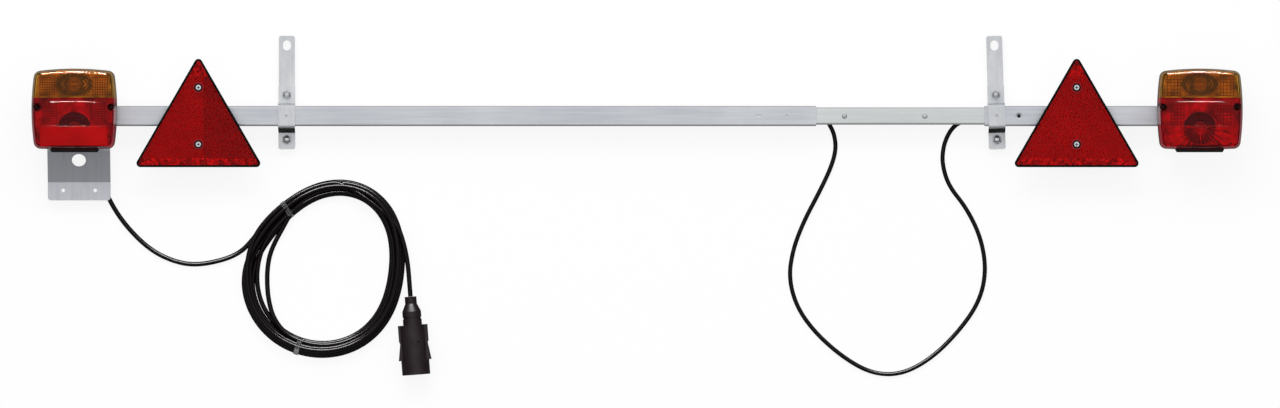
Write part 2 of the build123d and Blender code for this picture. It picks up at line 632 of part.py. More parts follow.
def build_lens(side, place):
    """Amber and red lens, which meet on the split line, and the screws in their pockets."""
    rise = AMBER_RISE + RED_STEP
    amber_view, red_view, ridges = lens_views(0)
    amber_bore, red_bore, bore_ridges = lens_views(LENS_WALL)
    amber = lens_body(amber_view, [], 0, rise)
    amber = fillet(front_edges(amber, amber.faces().sort_by(Axis.Y)[0]), LENS_EDGE)
    amber -= lens_body(amber_bore, [], LENS_WALL, rise)
    save(f"{side}_amber_lens", place * amber)

    red = lens_body(red_view, ridges, 0, rise)
    red = fillet(front_edges(red, red.faces().sort_by(Axis.Y)[-1]), LENS_EDGE)
    pocket = LENS_SCREW_HEAD_DIAMETER + 2 * LENS_POCKET_CLEARANCE
    tower = pocket + 2 * LENS_POCKET_WALL
    floor = LENS_SEAT + LENS_SCREW_SEAT
    screw_hole = LENS_SCREW_DIAMETER + 2 * SCREW_CLEARANCE
    top = LENS_SEAT + rise
    hollow = lens_body(red_bore, bore_ridges, LENS_WALL, rise)
    screws = []
    for x in (-LENS_SCREW_X, LENS_SCREW_X):
        hollow -= peg(x, LENS_SCREW_Y, LENS_SEAT, top, tower)
        shank = peg(x, LENS_SCREW_Y, BASE_RIM - LENS_SCREW_IN_BOSS, floor, LENS_SCREW_DIAMETER)
        screws.append(shank + dome(x, LENS_SCREW_Y, floor, LENS_SCREW_HEAD, LENS_SCREW_HEAD_DIAMETER))
    red -= hollow
    for x in (-LENS_SCREW_X, LENS_SCREW_X):
        red -= peg(x, LENS_SCREW_Y, LENS_SEAT, floor, screw_hole)
        red -= peg(x, LENS_SCREW_Y, floor, top, pocket)
    save(f"{side}_red_lens", place * red)
    save(f"{side}_lens_screws", place * Compound(screws))


def build_lamp_base(side, place, lit_plate):
    """Black base with its foot below the lens, bosses, holes, and the plate-light window if it has one."""
    inner = BASE_INSET + BASE_WALL
    base = lamp_prism(BASE_INSET, 0, BASE_RIM) - lamp_prism(inner, BASE_FLOOR, BASE_RIM)
    edge = LAMP_HEIGHT / 2 - inner
    end = LAMP_HEIGHT / 2 + BASE_FOOT_REACH
    half = BASE_FOOT_WIDTH / 2
    tip = half - BASE_FOOT_TAPER
    foot = Polygon((-half, -edge), (-tip, -end), (tip, -end), (half, -edge), align=None)
    base += extrude(foot, BASE_FOOT_HEIGHT)
    screw_hole = LENS_SCREW_DIAMETER + 2 * SCREW_CLEARANCE
    inside = lamp_prism(BASE_INSET, BASE_FLOOR, BASE_RIM)
    for x in (-LENS_SCREW_X, LENS_SCREW_X):
        base += peg(x, LENS_SCREW_Y, BASE_FLOOR, BASE_RIM, 2 * BOSS_RADIUS) & inside
        base -= peg(x, LENS_SCREW_Y, BASE_RIM - LENS_SCREW_IN_BOSS, BASE_RIM, screw_hole)
    for x in (-LAMP_BOLT_SPREAD / 2, LAMP_BOLT_SPREAD / 2):
        base -= peg(x, -LAMP_Y, 0, BASE_FLOOR, LAMP_BOLT_DIAMETER + BOLT_CLEARANCE)
    base -= peg(WIRE_HOLE_X, WIRE_BOLT_Y - LAMP_Y, 0, BASE_FLOOR, 2 * WIRE_HOLE_RADIUS)
    if lit_plate:
        gland_y = GLAND_Y - LAMP_Y
        base -= peg(GLAND_FROM_MIDDLE, gland_y, 0, BASE_FLOOR, GLAND_NECK_DIAMETER + GLAND_CLEARANCE)
        mid_z = (BASE_FLOOR + BASE_FOOT_HEIGHT) / 2
        inward = (Align.CENTER, Align.MIN, Align.CENTER)
        opening = Box(WINDOW_WIDTH, end - edge + BASE_WALL, WINDOW_HEIGHT, align=inward)
        base -= Pos(0, -end, mid_z) * opening
        play = 2 * WINDOW_CLEARANCE
        pane = Box(WINDOW_WIDTH - play, WINDOW_DEPTH, WINDOW_HEIGHT - play, align=inward)
        save(f"{side}_plate_light_window", place * Pos(0, -end, mid_z) * pane)
    save(f"{side}_lamp_base", place * base)
    gasket = lamp_prism(BASE_INSET, BASE_RIM, LENS_SEAT) - lamp_prism(inner, BASE_RIM, LENS_SEAT)
    save(f"{side}_lamp_gasket", place * gasket)


def bowl(y, radius, shrink):
    """Solid of a reflector bowl from the tray's top to the base floor, or its hollow when shrunk."""
    top = radius - shrink
    foot = BOWL_FOOT_RADIUS - shrink
    depth = TRAY_TOP - BASE_FLOOR
    return Pos(0, y, BASE_FLOOR + depth / 2) * Cone(foot, top, depth)


def build_lamp_inside(side, place):
    """Reflector tray with its two bowls and dividing wall, sockets and bulbs."""
    tray = lamp_prism(TRAY_INSET, TRAY_TOP - TRAY_SHEET, TRAY_TOP)
    for x in (-LENS_SCREW_X, LENS_SCREW_X):
        tray -= peg(x, LENS_SCREW_Y, BASE_FLOOR, TRAY_TOP, 2 * (BOSS_RADIUS + TRAY_CLEARANCE))
    bowls = ((AMBER_BOWL_Y, AMBER_BOWL_RADIUS), (RED_BOWL_Y, RED_BOWL_RADIUS))
    for y, radius in bowls:
        tray += bowl(y, radius, 0)
    for y, radius in bowls:
        tray -= bowl(y, radius, TRAY_SHEET)
    wall_top = LENS_SEAT + AMBER_RISE - LENS_WALL - TRAY_CLEARANCE
    wall_width = LAMP_WIDTH - 2 * (LAMP_SIDE_BOW + LENS_DRAFT + LENS_WALL + TRAY_CLEARANCE)
    wall = Box(wall_width, TRAY_SHEET, wall_top - TRAY_TOP, align=(Align.CENTER, Align.MIN, Align.MIN))
    tray += Pos(0, LENS_SPLIT_Y, TRAY_TOP) * wall
    save(f"{side}_reflector_tray", place * tray)

    foot = BASE_FLOOR + SOCKET_WALL
    socket_top = BASE_FLOOR + SOCKET_HEIGHT
    socket_bore = BULB_CAP_DIAMETER + 2 * BULB_CLEARANCE
    glass_radius = BULB_GLASS_DIAMETER / 2
    crown = foot + BULB_LENGTH - glass_radius
    sockets = []
    bulbs = []
    for y, _ in bowls:
        socket = peg(0, y, BASE_FLOOR, socket_top, 2 * SOCKET_RADIUS)
        sockets.append(socket - peg(0, y, foot, socket_top, socket_bore))
        cap = peg(0, y, foot, foot + BULB_CAP, BULB_CAP_DIAMETER)
        glass = peg(0, y, foot + BULB_CAP, crown, BULB_GLASS_DIAMETER)
        glass += Pos(0, y, crown) * Sphere(glass_radius)
        bulbs.append(cap + glass)
    save(f"{side}_bulb_sockets", place * Compound(sockets))
    save(f"{side}_bulbs", place * Compound(bulbs))


def build_lamp_fixings(side, x, seat):
    """Bolts from inside the lamp base through the bar, and their nuts behind it."""
    floor = seat + BASE_FLOOR
    nut_low = BAR_BACK_Z - LAMP_NUT
    bolts = []
    nuts = []
    for bolt_x in (x - LAMP_BOLT_SPREAD / 2, x + LAMP_BOLT_SPREAD / 2):
        shank = peg(bolt_x, 0, nut_low - LAMP_BOLT_TAIL, floor, LAMP_BOLT_DIAMETER)
        bolts.append(shank + dome(bolt_x, 0, floor, LAMP_BOLT_HEAD, LAMP_BOLT_HEAD_DIAMETER))
        nut = hexagon(bolt_x, 0, nut_low, BAR_BACK_Z, LAMP_NUT_ACROSS_FLATS)
        nuts.append(nut - peg(bolt_x, 0, nut_low, BAR_BACK_Z, LAMP_BOLT_DIAMETER))
    save(f"{side}_lamp_bolts", Compound(bolts))
    save(f"{side}_lamp_nuts", Compound(nuts))


def build_lamp(side, x, seat, lit_plate):
    """One whole rear lamp on its seat."""
    place = Pos(x, LAMP_Y, seat)
    build_lamp_base(side, place, lit_plate)
    build_lamp_inside(side, place)
    build_lens(side, place)
    build_lamp_fixings(side, x, seat)


def triangle(inset):
    """Reflector outline, drawn in all round by the inset, with its lower side at REFLECTOR_BOTTOM_Y."""
    inner_radius = REFLECTOR_SIDE / (2 * math.sqrt(3))
    outline = RegularPolygon(2 * (inner_radius - inset), 3, rotation=90)
    outline = fillet(outline.vertices(), REFLECTOR_CORNER - inset)
    return Pos(0, REFLECTOR_BOTTOM_Y + inner_radius) * outline


def build_reflector(side, x):
    """Triangular reflector with its carrier strip, rivets, screws and nuts."""
    screw_places = (-REFLECTOR_SCREW_Y, REFLECTOR_SCREW_Y)
    length = 2 * (REFLECTOR_SCREW_Y + CARRIER_PAST_SCREW)
    carrier = Pos(x, 0, BAR_FRONT_Z) * extrude(Rectangle(CARRIER_WIDTH, length), CARRIER_SHEET)
    screw_hole = REFLECTOR_SCREW_DIAMETER + BOLT_CLEARANCE
    rivets = carrier_rivets(x)
    carrier -= rivets
    carrier -= [peg(x, y, BAR_FRONT_Z, CARRIER_FRONT_Z, screw_hole) for y in screw_places]
    save(f"{side}_reflector_carrier", carrier)
    save(f"{side}_carrier_rivets", Compound(rivets))

    plate_low = CARRIER_FRONT_Z + REFLECTOR_STANDOFF
    plate_high = plate_low + REFLECTOR_PLATE
    front = plate_high + REFLECTOR_LENS
    ring = REFLECTOR_SCREW_RECESS + 2 * REFLECTOR_BOSS_WALL
    back = Pos(x, 0, plate_low) * extrude(triangle(0), front - plate_low)
    back -= Pos(x, 0, plate_high) * extrude(triangle(REFLECTOR_RIM), REFLECTOR_LENS)
    lens = Pos(x, 0, plate_high) * extrude(triangle(REFLECTOR_RIM + REFLECTOR_CLEARANCE), REFLECTOR_LENS)
    screws = []
    nuts = []
    for y in screw_places:
        back += peg(x, y, CARRIER_FRONT_Z, front, ring)
        back -= peg(x, y, plate_high, front, REFLECTOR_SCREW_RECESS)
        back -= peg(x, y, CARRIER_FRONT_Z, plate_high, screw_hole)
        lens -= peg(x, y, plate_high, front, ring + 2 * REFLECTOR_CLEARANCE)
        nut_low = BAR_FRONT_Z - REFLECTOR_NUT
        shank = peg(x, y, nut_low - REFLECTOR_SCREW_TAIL, plate_high, REFLECTOR_SCREW_DIAMETER)
        head = dome(x, y, plate_high, REFLECTOR_SCREW_HEAD, REFLECTOR_SCREW_HEAD_DIAMETER)
        screws.append(shank + head)
        nut = hexagon(x, y, nut_low, BAR_FRONT_Z, REFLECTOR_NUT_ACROSS_FLATS)
        nuts.append(nut - peg(x, y, nut_low, BAR_FRONT_Z, REFLECTOR_SCREW_DIAMETER))
    save(f"{side}_reflector_back", back)
    save(f"{side}_reflector_lens", lens)
    save(f"{side}_reflector_screws", Compound(screws))
    save(f"{side}_reflector_nuts", Compound(nuts))


def build_cables():
    """Gland, supply cable with its coil, and the link cable from one lamp to the other."""
    floor = BAR_FRONT_Z + BRACKET_SHEET + BASE_FLOOR
    gland = peg(GLAND_X, GLAND_Y, GLAND_END_Z, floor, GLAND_NECK_DIAMETER)
    gland += peg(GLAND_X, GLAND_Y, floor, floor + GLAND_FLANGE, GLAND_FLANGE_DIAMETER)
    save("cable_gland", gland)

    middle = Ellipse(COIL_HALF_LENGTH - COIL_BAND, COIL_HALF_WIDTH - COIL_BAND)
    ring = extrude(Ellipse(COIL_HALF_LENGTH, COIL_HALF_WIDTH) - middle, COIL_HEIGHT)
    rims = ring.faces().sort_by(Axis.Z)[0].edges() + ring.faces().sort_by(Axis.Z)[-1].edges()
    save("supply_coil", Pos(COIL_X, COIL_Y, 0) * Rot(0, 0, COIL_TILT) * fillet(rims, COIL_ROUND))
    save("supply_cable", cord("supply_cable", SUPPLY_ROUTE, SUPPLY_DIAMETER))
    save("plug_cable", cord("plug_cable", PLUG_ROUTE, SUPPLY_DIAMETER))
    save("link_cable", cord("link_cable", LINK_ROUTE, LINK_DIAMETER))

    left_wire = LEFT_LAMP_X + WIRE_HOLE_X
    right_wire = RIGHT_LAMP_X + WIRE_HOLE_X
    from_lamp = LAMP_BOLT_SPREAD / 2 + WIRE_PAST_BOLT
    wire_end = BAR_FRONT_Z + BASE_FLOOR + WIRE_END
    main_route = [
        (left_wire, WIRE_BOLT_Y, wire_end + BRACKET_SHEET),
        (left_wire, WIRE_BOLT_Y, WIRE_Z),
        (LEFT_LAMP_X + from_lamp, WIRE_BOLT_Y, WIRE_Z),
        (LEFT_LAMP_X + from_lamp + WIRE_SHIFT, WIRE_Y, WIRE_Z),
        (MAIN_MOUTH_X, WIRE_Y, WIRE_Z),
    ]
    save("main_tube_cable", cord("main_tube_cable", main_route, LINK_DIAMETER))
    arm_route = [
        (ARM_MOUTH_X, WIRE_Y, WIRE_Z),
        (RIGHT_LAMP_X - from_lamp - WIRE_SHIFT, WIRE_Y, WIRE_Z),
        (RIGHT_LAMP_X - from_lamp, WIRE_BOLT_Y, WIRE_Z),
        (right_wire, WIRE_BOLT_Y, WIRE_Z),
        (right_wire, WIRE_BOLT_Y, wire_end),
    ]
    save("arm_cable", cord("arm_cable", arm_route, LINK_DIAMETER))


def plug_flap():
    """Raised flap over one side of the plug's shell, its rear edge swept round in an arc."""
    far = -SHELL_DIAMETER
    sweep_end = SHELL_START + FLAP_SWEEP
    bulge = math.sqrt(0.5)
    middle_x = FLAP_REAR_X + bulge * (FLAP_EDGE_X - FLAP_REAR_X)
    rear = ThreePointArc(
        (FLAP_REAR_X, SHELL_START), (middle_x, sweep_end - bulge * FLAP_SWEEP), (FLAP_EDGE_X, sweep_end)
    )
    rest = Polyline(
        (FLAP_EDGE_X, sweep_end), (FLAP_EDGE_X, SKIRT_START), (far, SKIRT_START), (far, SHELL_START), rear @ 0
    )
    over = extrude(Plane.XZ * make_face(Curve() + [rear, rest]), -SHELL_DIAMETER)
    return over & peg(0, 0, SHELL_START, SKIRT_START, SHELL_DIAMETER + 2 * FLAP_RISE)


def build_plug():
    """Seven-pin plug lying on the floor at the end of the supply cable."""
    across = PLUG_ALONG.rotate(Axis.Z, 90)
    place = Plane(origin=PLUG_END, x_dir=across, z_dir=PLUG_ALONG)

    boot_radius = BOOT_DIAMETER / 2
    collar_radius = COLLAR_DIAMETER / 2
    boot = peg(0, 0, 0, BOOT_STRAIGHT, BOOT_DIAMETER)
    boot += Pos(0, 0, BOOT_STRAIGHT + BOOT_CONE / 2) * Cone(boot_radius, collar_radius, BOOT_CONE)
    save("plug_boot", place * boot)

    collar = peg(0, 0, COLLAR_START, SHELL_START, COLLAR_DIAMETER)
    groove_low = (COLLAR_START + SHELL_START - COLLAR_GROOVE_WIDTH) / 2
    groove = peg(0, 0, groove_low, groove_low + COLLAR_GROOVE_WIDTH, COLLAR_DIAMETER)
    groove -= peg(0, 0, groove_low, groove_low + COLLAR_GROOVE_WIDTH, COLLAR_DIAMETER - 2 * COLLAR_GROOVE)
    save("plug_collar", place * (collar - groove))

    ears = Polygon(
        (-EAR_REAR_SPAN / 2, SHELL_START),
        (EAR_REAR_SPAN / 2, SHELL_START),
        (EAR_REAR_SPAN / 2, SHELL_START + EAR_REAR_LENGTH),
        (EAR_WAIST_SPAN / 2, SHELL_START + EAR_REAR_LENGTH + EAR_STEP),
        (EAR_FRONT_SPAN / 2, SKIRT_START),
        (-EAR_FRONT_SPAN / 2, SKIRT_START),
        (-EAR_WAIST_SPAN / 2, SHELL_START + EAR_REAR_LENGTH + EAR_STEP),
        (-EAR_REAR_SPAN / 2, SHELL_START + EAR_REAR_LENGTH),
        align=None,
    )
    shell = extrude(Plane.XZ * ears, EAR_THICKNESS / 2, both=True)
    shell += peg(0, 0, SHELL_START, SKIRT_START, SHELL_DIAMETER)
    shell += plug_flap()
    shell += peg(0, 0, SKIRT_START, PLUG_LENGTH, SKIRT_DIAMETER)
    pin_tips = PLUG_LENGTH - PIN_RECESS
    insert_front = pin_tips - PIN_LENGTH
    insert_back = insert_front - INSERT_THICKNESS
    shell -= peg(0, 0, insert_back, PLUG_LENGTH, SKIRT_BORE)
    screw_top = math.sqrt(SHELL_DIAMETER ** 2 / 4 - PLUG_SCREW_X ** 2)
    screw_low = screw_top - PLUG_SCREW_DEPTH
    screw_place = Pos(PLUG_SCREW_X, 0, PLUG_SCREW_ALONG) * Rot(-90, 0, 0)
    shell -= screw_place * peg(0, 0, screw_low, SHELL_DIAMETER, PLUG_SCREW_DIAMETER)
    save("plug_shell", place * shell)
    screw = peg(0, 0, screw_low, screw_low + PLUG_SCREW_LENGTH, PLUG_SCREW_DIAMETER)
    save("plug_screw", place * screw_place * screw)

    save("plug_insert", place * peg(0, 0, insert_back, insert_front, SKIRT_BORE))
    pin = peg(0, 0, insert_front, pin_tips, PIN_DIAMETER)
    around = PolarLocations(PIN_CIRCLE / 2, RING_PIN_COUNT)
    save("plug_pins", place * Compound([pin] + [spot * pin for spot in around]))


os.makedirs("parts", exist_ok=True)
build_bar()
build_clamp("left", LEFT_CLAMP_X, 0)
build_clamp("right", RIGHT_CLAMP_X, RIGHT_CLAMP_LEAN)
build_plate_bracket()
build_lamp("left", LEFT_LAMP_X, BAR_FRONT_Z + BRACKET_SHEET, True)
build_lamp("right", RIGHT_LAMP_X, BAR_FRONT_Z, False)
build_reflector("left", LEFT_REFLECTOR_X)
build_reflector("right", RIGHT_REFLECTOR_X)
build_cables()
build_plug()
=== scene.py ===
"""Telescopic trailer lighting bar on a white floor: camera, studio, cords, finishes and fine pieces."""

import logging
import math
from collections.abc import Callable, Iterable, Sequence
from dataclasses import dataclass
from enum import Enum
from functools import partial

import bpy
from mathutils import Matrix, Vector
from mathutils.geometry import convex_hull_2d


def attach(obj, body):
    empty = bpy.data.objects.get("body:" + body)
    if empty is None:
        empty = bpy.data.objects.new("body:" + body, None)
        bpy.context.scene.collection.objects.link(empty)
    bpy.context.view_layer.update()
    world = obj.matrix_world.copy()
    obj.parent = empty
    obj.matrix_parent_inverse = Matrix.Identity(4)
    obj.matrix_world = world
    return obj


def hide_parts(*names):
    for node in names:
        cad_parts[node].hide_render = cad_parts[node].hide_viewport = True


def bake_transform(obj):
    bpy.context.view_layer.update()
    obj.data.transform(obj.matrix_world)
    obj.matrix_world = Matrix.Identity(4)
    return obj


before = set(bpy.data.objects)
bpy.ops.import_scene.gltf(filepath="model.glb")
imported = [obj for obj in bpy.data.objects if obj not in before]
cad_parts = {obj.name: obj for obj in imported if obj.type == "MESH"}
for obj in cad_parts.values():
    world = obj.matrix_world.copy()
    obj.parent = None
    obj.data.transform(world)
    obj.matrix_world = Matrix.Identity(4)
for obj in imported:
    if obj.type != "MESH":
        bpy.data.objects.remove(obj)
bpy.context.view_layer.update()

LOG = logging.getLogger("lighting_bar")
MM = 0.001
BAR_TO_FRAME = Vector((1.75, 2.5, 0.0))
CREASE = 35.0
SOFT_CREASE = 60.0
FEELER_HEIGHT = 200.0
CORD_STEPS = 10
CORD_FACETS = 4
CORD_ORDER = 3

Pair = tuple[float, float]
Point = tuple[float, float, float]
Outline = tuple[Pair, ...]
Colour = tuple[float, float, float]
Cells = tuple[int, int]
Socket = bpy.types.NodeSocket
Sockets = dict[str | int, object]
Value = float | Socket
Paint = Colour | Socket
Surface = Callable[[float, float], Vector]

EVEN: Point = (1.0, 1.0, 1.0)
WHITE: Colour = (1.0, 1.0, 1.0)


def at(x: float, y: float, z: float) -> Vector:
    """Turn a place in millimetres from the bar's own axis and mark into metres in the frame.

    Args:
        x: Along the bar.
        y: Across the bar, towards the hanger slots.
        z: Up from the floor.

    Returns:
        The place in the frame.
    """
    return (Vector((x, y, z)) + BAR_TO_FRAME) * MM


class Body(Enum):
    """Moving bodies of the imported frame."""

    BAR = "bar"
    ARM = "arm"


class Side(Enum):
    """The two ends of the bar: prefix of the nodes' names and the body that carries them."""

    LEFT = ("left", Body.BAR)
    RIGHT = ("right", Body.ARM)

    @property
    def prefix(self) -> str:
        """Prefix of this end's node names."""
        return self.value[0]

    @property
    def body(self) -> Body:
        """Body that this end rides on."""
        return self.value[1]


class LensColour(Enum):
    """The two colours of a rear lamp's lens."""

    AMBER = "amber"
    RED = "red"


class Pattern(Enum):
    """Prisms moulded on the inside of a lens."""

    PILLOWS = "pillows"
    FLUTES = "flutes"
    DIAMONDS = "diamonds"
    RAYS = "rays"


class Graph:
    """Short-hand for wiring the nodes of one material or world."""

    MIX_SHARE = 0
    VALUE_FIRST = 2
    VALUE_SECOND = 3
    VALUE_RESULT = 0
    COLOUR_FIRST = 6
    COLOUR_SECOND = 7
    COLOUR_RESULT = 2

    def __init__(self, tree: bpy.types.NodeTree) -> None:
        """Keep the tree and empty it."""
        self.tree = tree
        tree.nodes.clear()

    def add(self, kind: str, sockets: Sockets | None = None, **settings: object) -> bpy.types.Node:
        """Add one node.

        Args:
            kind: Blender's type name of the node.
            sockets: Values or linked outputs for its inputs, by name or number.
            settings: Properties of the node itself.

        Returns:
            The new node.
        """
        node = self.tree.nodes.new(kind)
        for name, value in settings.items():
            setattr(node, name, value)
        for key, value in (sockets or {}).items():
            if isinstance(value, Socket):
                self.tree.links.new(value, node.inputs[key])
            else:
                node.inputs[key].default_value = value
        return node

    def maths(self, operation: str, first: Value, second: Value = 0.0) -> Socket:
        """Return the result of one sum of two values."""
        return self.add("ShaderNodeMath", {0: first, 1: second}, operation=operation).outputs[0]

    def weigh(self, first: Value, first_weight: float, second: Value, second_weight: float) -> Socket:
        """Return the sum of two values, each times its weight."""
        weighed = self.maths("MULTIPLY", first, first_weight)
        return self.maths("ADD", weighed, self.maths("MULTIPLY", second, second_weight))

    def mix(self, share: Value, first: Paint, second: Paint) -> Socket:
        """Blend two colours.

        Args:
            share: Share of the second colour, from 0 to 1.
            first: Colour at share 0.
            second: Colour at share 1.

        Returns:
            The blend.
        """
        sockets = {self.MIX_SHARE: share}
        for number, paint in ((self.COLOUR_FIRST, first), (self.COLOUR_SECOND, second)):
            sockets[number] = paint if isinstance(paint, Socket) else (*paint, 1.0)
        return self.add("ShaderNodeMix", sockets, data_type="RGBA").outputs[self.COLOUR_RESULT]

    def mix_values(self, share: Value, first: Value, second: Value) -> Socket:
        """Return the blend of two plain values by a share."""
        sockets = {self.MIX_SHARE: share, self.VALUE_FIRST: first, self.VALUE_SECOND: second}
        return self.add("ShaderNodeMix", sockets, data_type="FLOAT").outputs[self.VALUE_RESULT]

    def spread(self, value: Value, low: float, high: float,
               to_low: float = 0.0, to_high: float = 1.0) -> Socket:
        """Return a value moved from one range to another and held inside it."""
        sockets = {"Value": value, "From Min": low, "From Max": high, "To Min": to_low, "To Max": to_high}
        return self.add("ShaderNodeMapRange", sockets, clamp=True).outputs[0]

    def wear(self, patches: Value, edge: Pair, roughness: float, change: Pair) -> Socket:
        """Return a roughness that changes by two amounts from one edge of a patch to the other."""
        return self.spread(patches, *edge, roughness + change[0], roughness + change[1])

    def place(self, stretch: Point) -> Socket:
        """Return coordinates fixed to the piece, in metres times a stretch in each direction."""
        coordinates = self.add("ShaderNodeTexCoord").outputs["Object"]
        return self.add("ShaderNodeMapping", {"Vector": coordinates, "Scale": stretch}).outputs[0]

    def noise(self, where: Socket, scale: float, detail: float) -> Socket:
        """Return cloudy noise from 0 to 1 at a scale in cells for each metre."""
        sockets = {"Vector": where, "Scale": scale, "Detail": detail}
        return self.add("ShaderNodeTexNoise", sockets).outputs["Fac"]

    def cells(self, where: Socket, scale: float) -> Socket:
        """Return one random grey for each cell of a crystal pattern."""
        colour = self.add("ShaderNodeTexVoronoi", {"Vector": where, "Scale": scale}).outputs["Color"]
        return self.add("ShaderNodeRGBToBW", {0: colour}).outputs[0]

    def bump(self, height: Socket, strength: float, distance: float) -> Socket:
        """Return a normal roughened by a height pattern whose depth is in metres."""
        sockets = {"Height": height, "Strength": strength, "Distance": distance}
        return self.add("ShaderNodeBump", sockets).outputs[0]

    def shade(self, sockets: Sockets) -> None:
        """End a material in one principled surface.

        Args:
            sockets: Values or linked outputs for the surface's inputs.
        """
        surface = self.add("ShaderNodeBsdfPrincipled", sockets)
        output = self.add("ShaderNodeOutputMaterial")
        self.tree.links.new(surface.outputs[0], output.inputs["Surface"])


def darker(colour: Colour, share: float) -> Colour:
    """Return a colour darkened to a share of itself."""
    return tuple(share * part for part in colour)


@dataclass(frozen=True)
class Finish:
    """A finish that pieces share; each kind wires its own nodes."""

    name: str

    def wire(self, graph: Graph) -> None:
        """Wire the nodes of this finish."""
        raise NotImplementedError

    def material(self) -> bpy.types.Material:
        """Find this finish's material, or make it on first use.

        Returns:
            The material.
        """
        label = f"{self.name}_finish"
        found = bpy.data.materials.get(label)
        if found is None:
            found = bpy.data.materials.new(label)
            found.use_nodes = True
            self.wire(Graph(found.node_tree))
        return found


@dataclass(frozen=True)
class Zinc(Finish):
    """Galvanised steel with crystal spangle, drawing streaks and handling scuffs."""

    pale: Colour
    dull: Colour
    streak: Point = (2.0, 60.0, 60.0)
    roughness: float = 0.46
    metal: float = 0.72
    streak_scale: float = 6.0
    streak_weight: float = 0.6
    blotch_scale: float = 14.0
    blotch_weight: float = 0.5
    tone_edge: Pair = (0.38, 0.72)
    spangle_scale: float = 190.0
    spangle_share: float = 0.16
    spangle_relief: float = 0.4
    scuff_scale: float = 23.0
    scuff_edge: Pair = (0.63, 0.72)
    scuff_share: float = 0.35
    scuff_dark: float = 0.55
    wear_edge: Pair = (0.3, 0.8)
    wear: Pair = (0.08, -0.08)
    relief: Pair = (0.12, 0.0004)

    def wire(self, graph: Graph) -> None:
        """Wire streaks, spangle, blotches and scuffs into colour, roughness and relief.

        Args:
            graph: Nodes of the material.
        """
        along = graph.place(self.streak)
        across = graph.place(EVEN)
        streaks = graph.noise(along, self.streak_scale, detail=6.0)
        blotches = graph.noise(across, self.blotch_scale, detail=4.0)
        crystals = graph.cells(across, self.spangle_scale)
        share = graph.weigh(streaks, self.streak_weight, blotches, self.blotch_weight)
        colour = graph.mix(graph.spread(share, *self.tone_edge), self.dull, self.pale)
        flecks = graph.spread(crystals, 0.0, 1.0, to_high=self.spangle_share)
        colour = graph.mix(flecks, colour, self.pale)
        marks = graph.noise(along, self.scuff_scale, detail=8.0)
        scuffs = graph.spread(marks, *self.scuff_edge, to_high=self.scuff_share)
        colour = graph.mix(scuffs, colour, darker(self.dull, self.scuff_dark))
        relief = graph.maths("ADD", graph.maths("MULTIPLY", crystals, self.spangle_relief), streaks)
        graph.shade({
            "Base Color": colour,
            "Metallic": self.metal,
            "Roughness": graph.wear(share, self.wear_edge, self.roughness, self.wear),
            "Normal": graph.bump(relief, *self.relief),
        })


@dataclass(frozen=True)
class BrightSteel(Finish):
    """Bright plated fastener with fine turning marks."""

    colour: Colour = (0.85, 0.87, 0.90)
    roughness: float = 0.26
    mark_scale: float = 900.0
    mark_relief: Pair = (0.15, 0.0002)
    patch_scale: float = 160.0
    patch_edge: Pair = (0.35, 0.7)
    patch_dark: float = 0.7
    wear_edge: Pair = (0.3, 0.7)
    wear: Pair = (0.08, -0.06)

    def wire(self, graph: Graph) -> None:
        """Wire fine marks and patchy gloss.

        Args:
            graph: Nodes of the material.
        """
        where = graph.place(EVEN)
        marks = graph.noise(where, self.mark_scale, detail=4.0)
        patches = graph.noise(where, self.patch_scale, detail=3.0)
        dull = darker(self.colour, self.patch_dark)
        graph.shade({
            "Base Color": graph.mix(graph.spread(patches, *self.patch_edge), dull, self.colour),
            "Metallic": 1.0,
            "Roughness": graph.wear(patches, self.wear_edge, self.roughness, self.wear),
            "Normal": graph.bump(marks, *self.mark_relief),
        })


@dataclass(frozen=True)
class BlackMoulding(Finish):
    """Black plastic or rubber with a fine grain and a little dust."""

    colour: Colour
    dust: Colour
    roughness: float
    grain_scale: float = 1500.0
    grain_relief: Pair = (0.25, 0.00025)
    shine: float = 0.22
    dust_scale: float = 45.0
    dust_edge: Pair = (0.42, 0.75)
    dust_share: float = 0.6
    wear_edge: Pair = (0.3, 0.7)
    wear: Pair = (-0.06, 0.1)

    def wire(self, graph: Graph) -> None:
        """Wire grain, dust in patches and worn gloss.

        Args:
            graph: Nodes of the material.
        """
        where = graph.place(EVEN)
        grain = graph.noise(where, self.grain_scale, detail=2.0)
        patches = graph.noise(where, self.dust_scale, detail=5.0)
        dusty = graph.spread(patches, *self.dust_edge, to_high=self.dust_share)
        graph.shade({
            "Base Color": graph.mix(dusty, self.colour, self.dust),
            "Roughness": graph.wear(patches, self.wear_edge, self.roughness, self.wear),
            "Specular IOR Level": self.shine,
            "Normal": graph.bump(grain, *self.grain_relief),
        })


@dataclass(frozen=True)
class CableSheath(Finish):
    """Glossy black cable sheath, slightly uneven, with pale rub marks."""

    colour: Colour = (0.0058, 0.0030, 0.0036)
    rubbed: Colour = (0.0105, 0.0065, 0.0075)
    roughness: float = 0.17
    shine: float = 0.15
    uneven_scale: float = 70.0
    uneven_relief: Pair = (0.03, 0.0003)
    rub_scale: float = 60.0
    rub_edge: Pair = (0.5, 0.8)
    rub_share: float = 0.8
    wear_edge: Pair = (0.35, 0.7)
    wear: Pair = (0.0, 0.03)

    def wire(self, graph: Graph) -> None:
        """Wire unevenness of the sheath and rub marks.

        Args:
            graph: Nodes of the material.
        """
        where = graph.place(EVEN)
        uneven = graph.noise(where, self.uneven_scale, detail=1.0)
        rubs = graph.noise(where, self.rub_scale, detail=6.0)
        rubbed = graph.spread(rubs, *self.rub_edge, to_high=self.rub_share)
        graph.shade({
            "Base Color": graph.mix(rubbed, self.colour, self.rubbed),
            "Roughness": graph.wear(rubs, self.wear_edge, self.roughness, self.wear),
            "Specular IOR Level": self.shine,
            "Normal": graph.bump(uneven, *self.uneven_relief),
        })


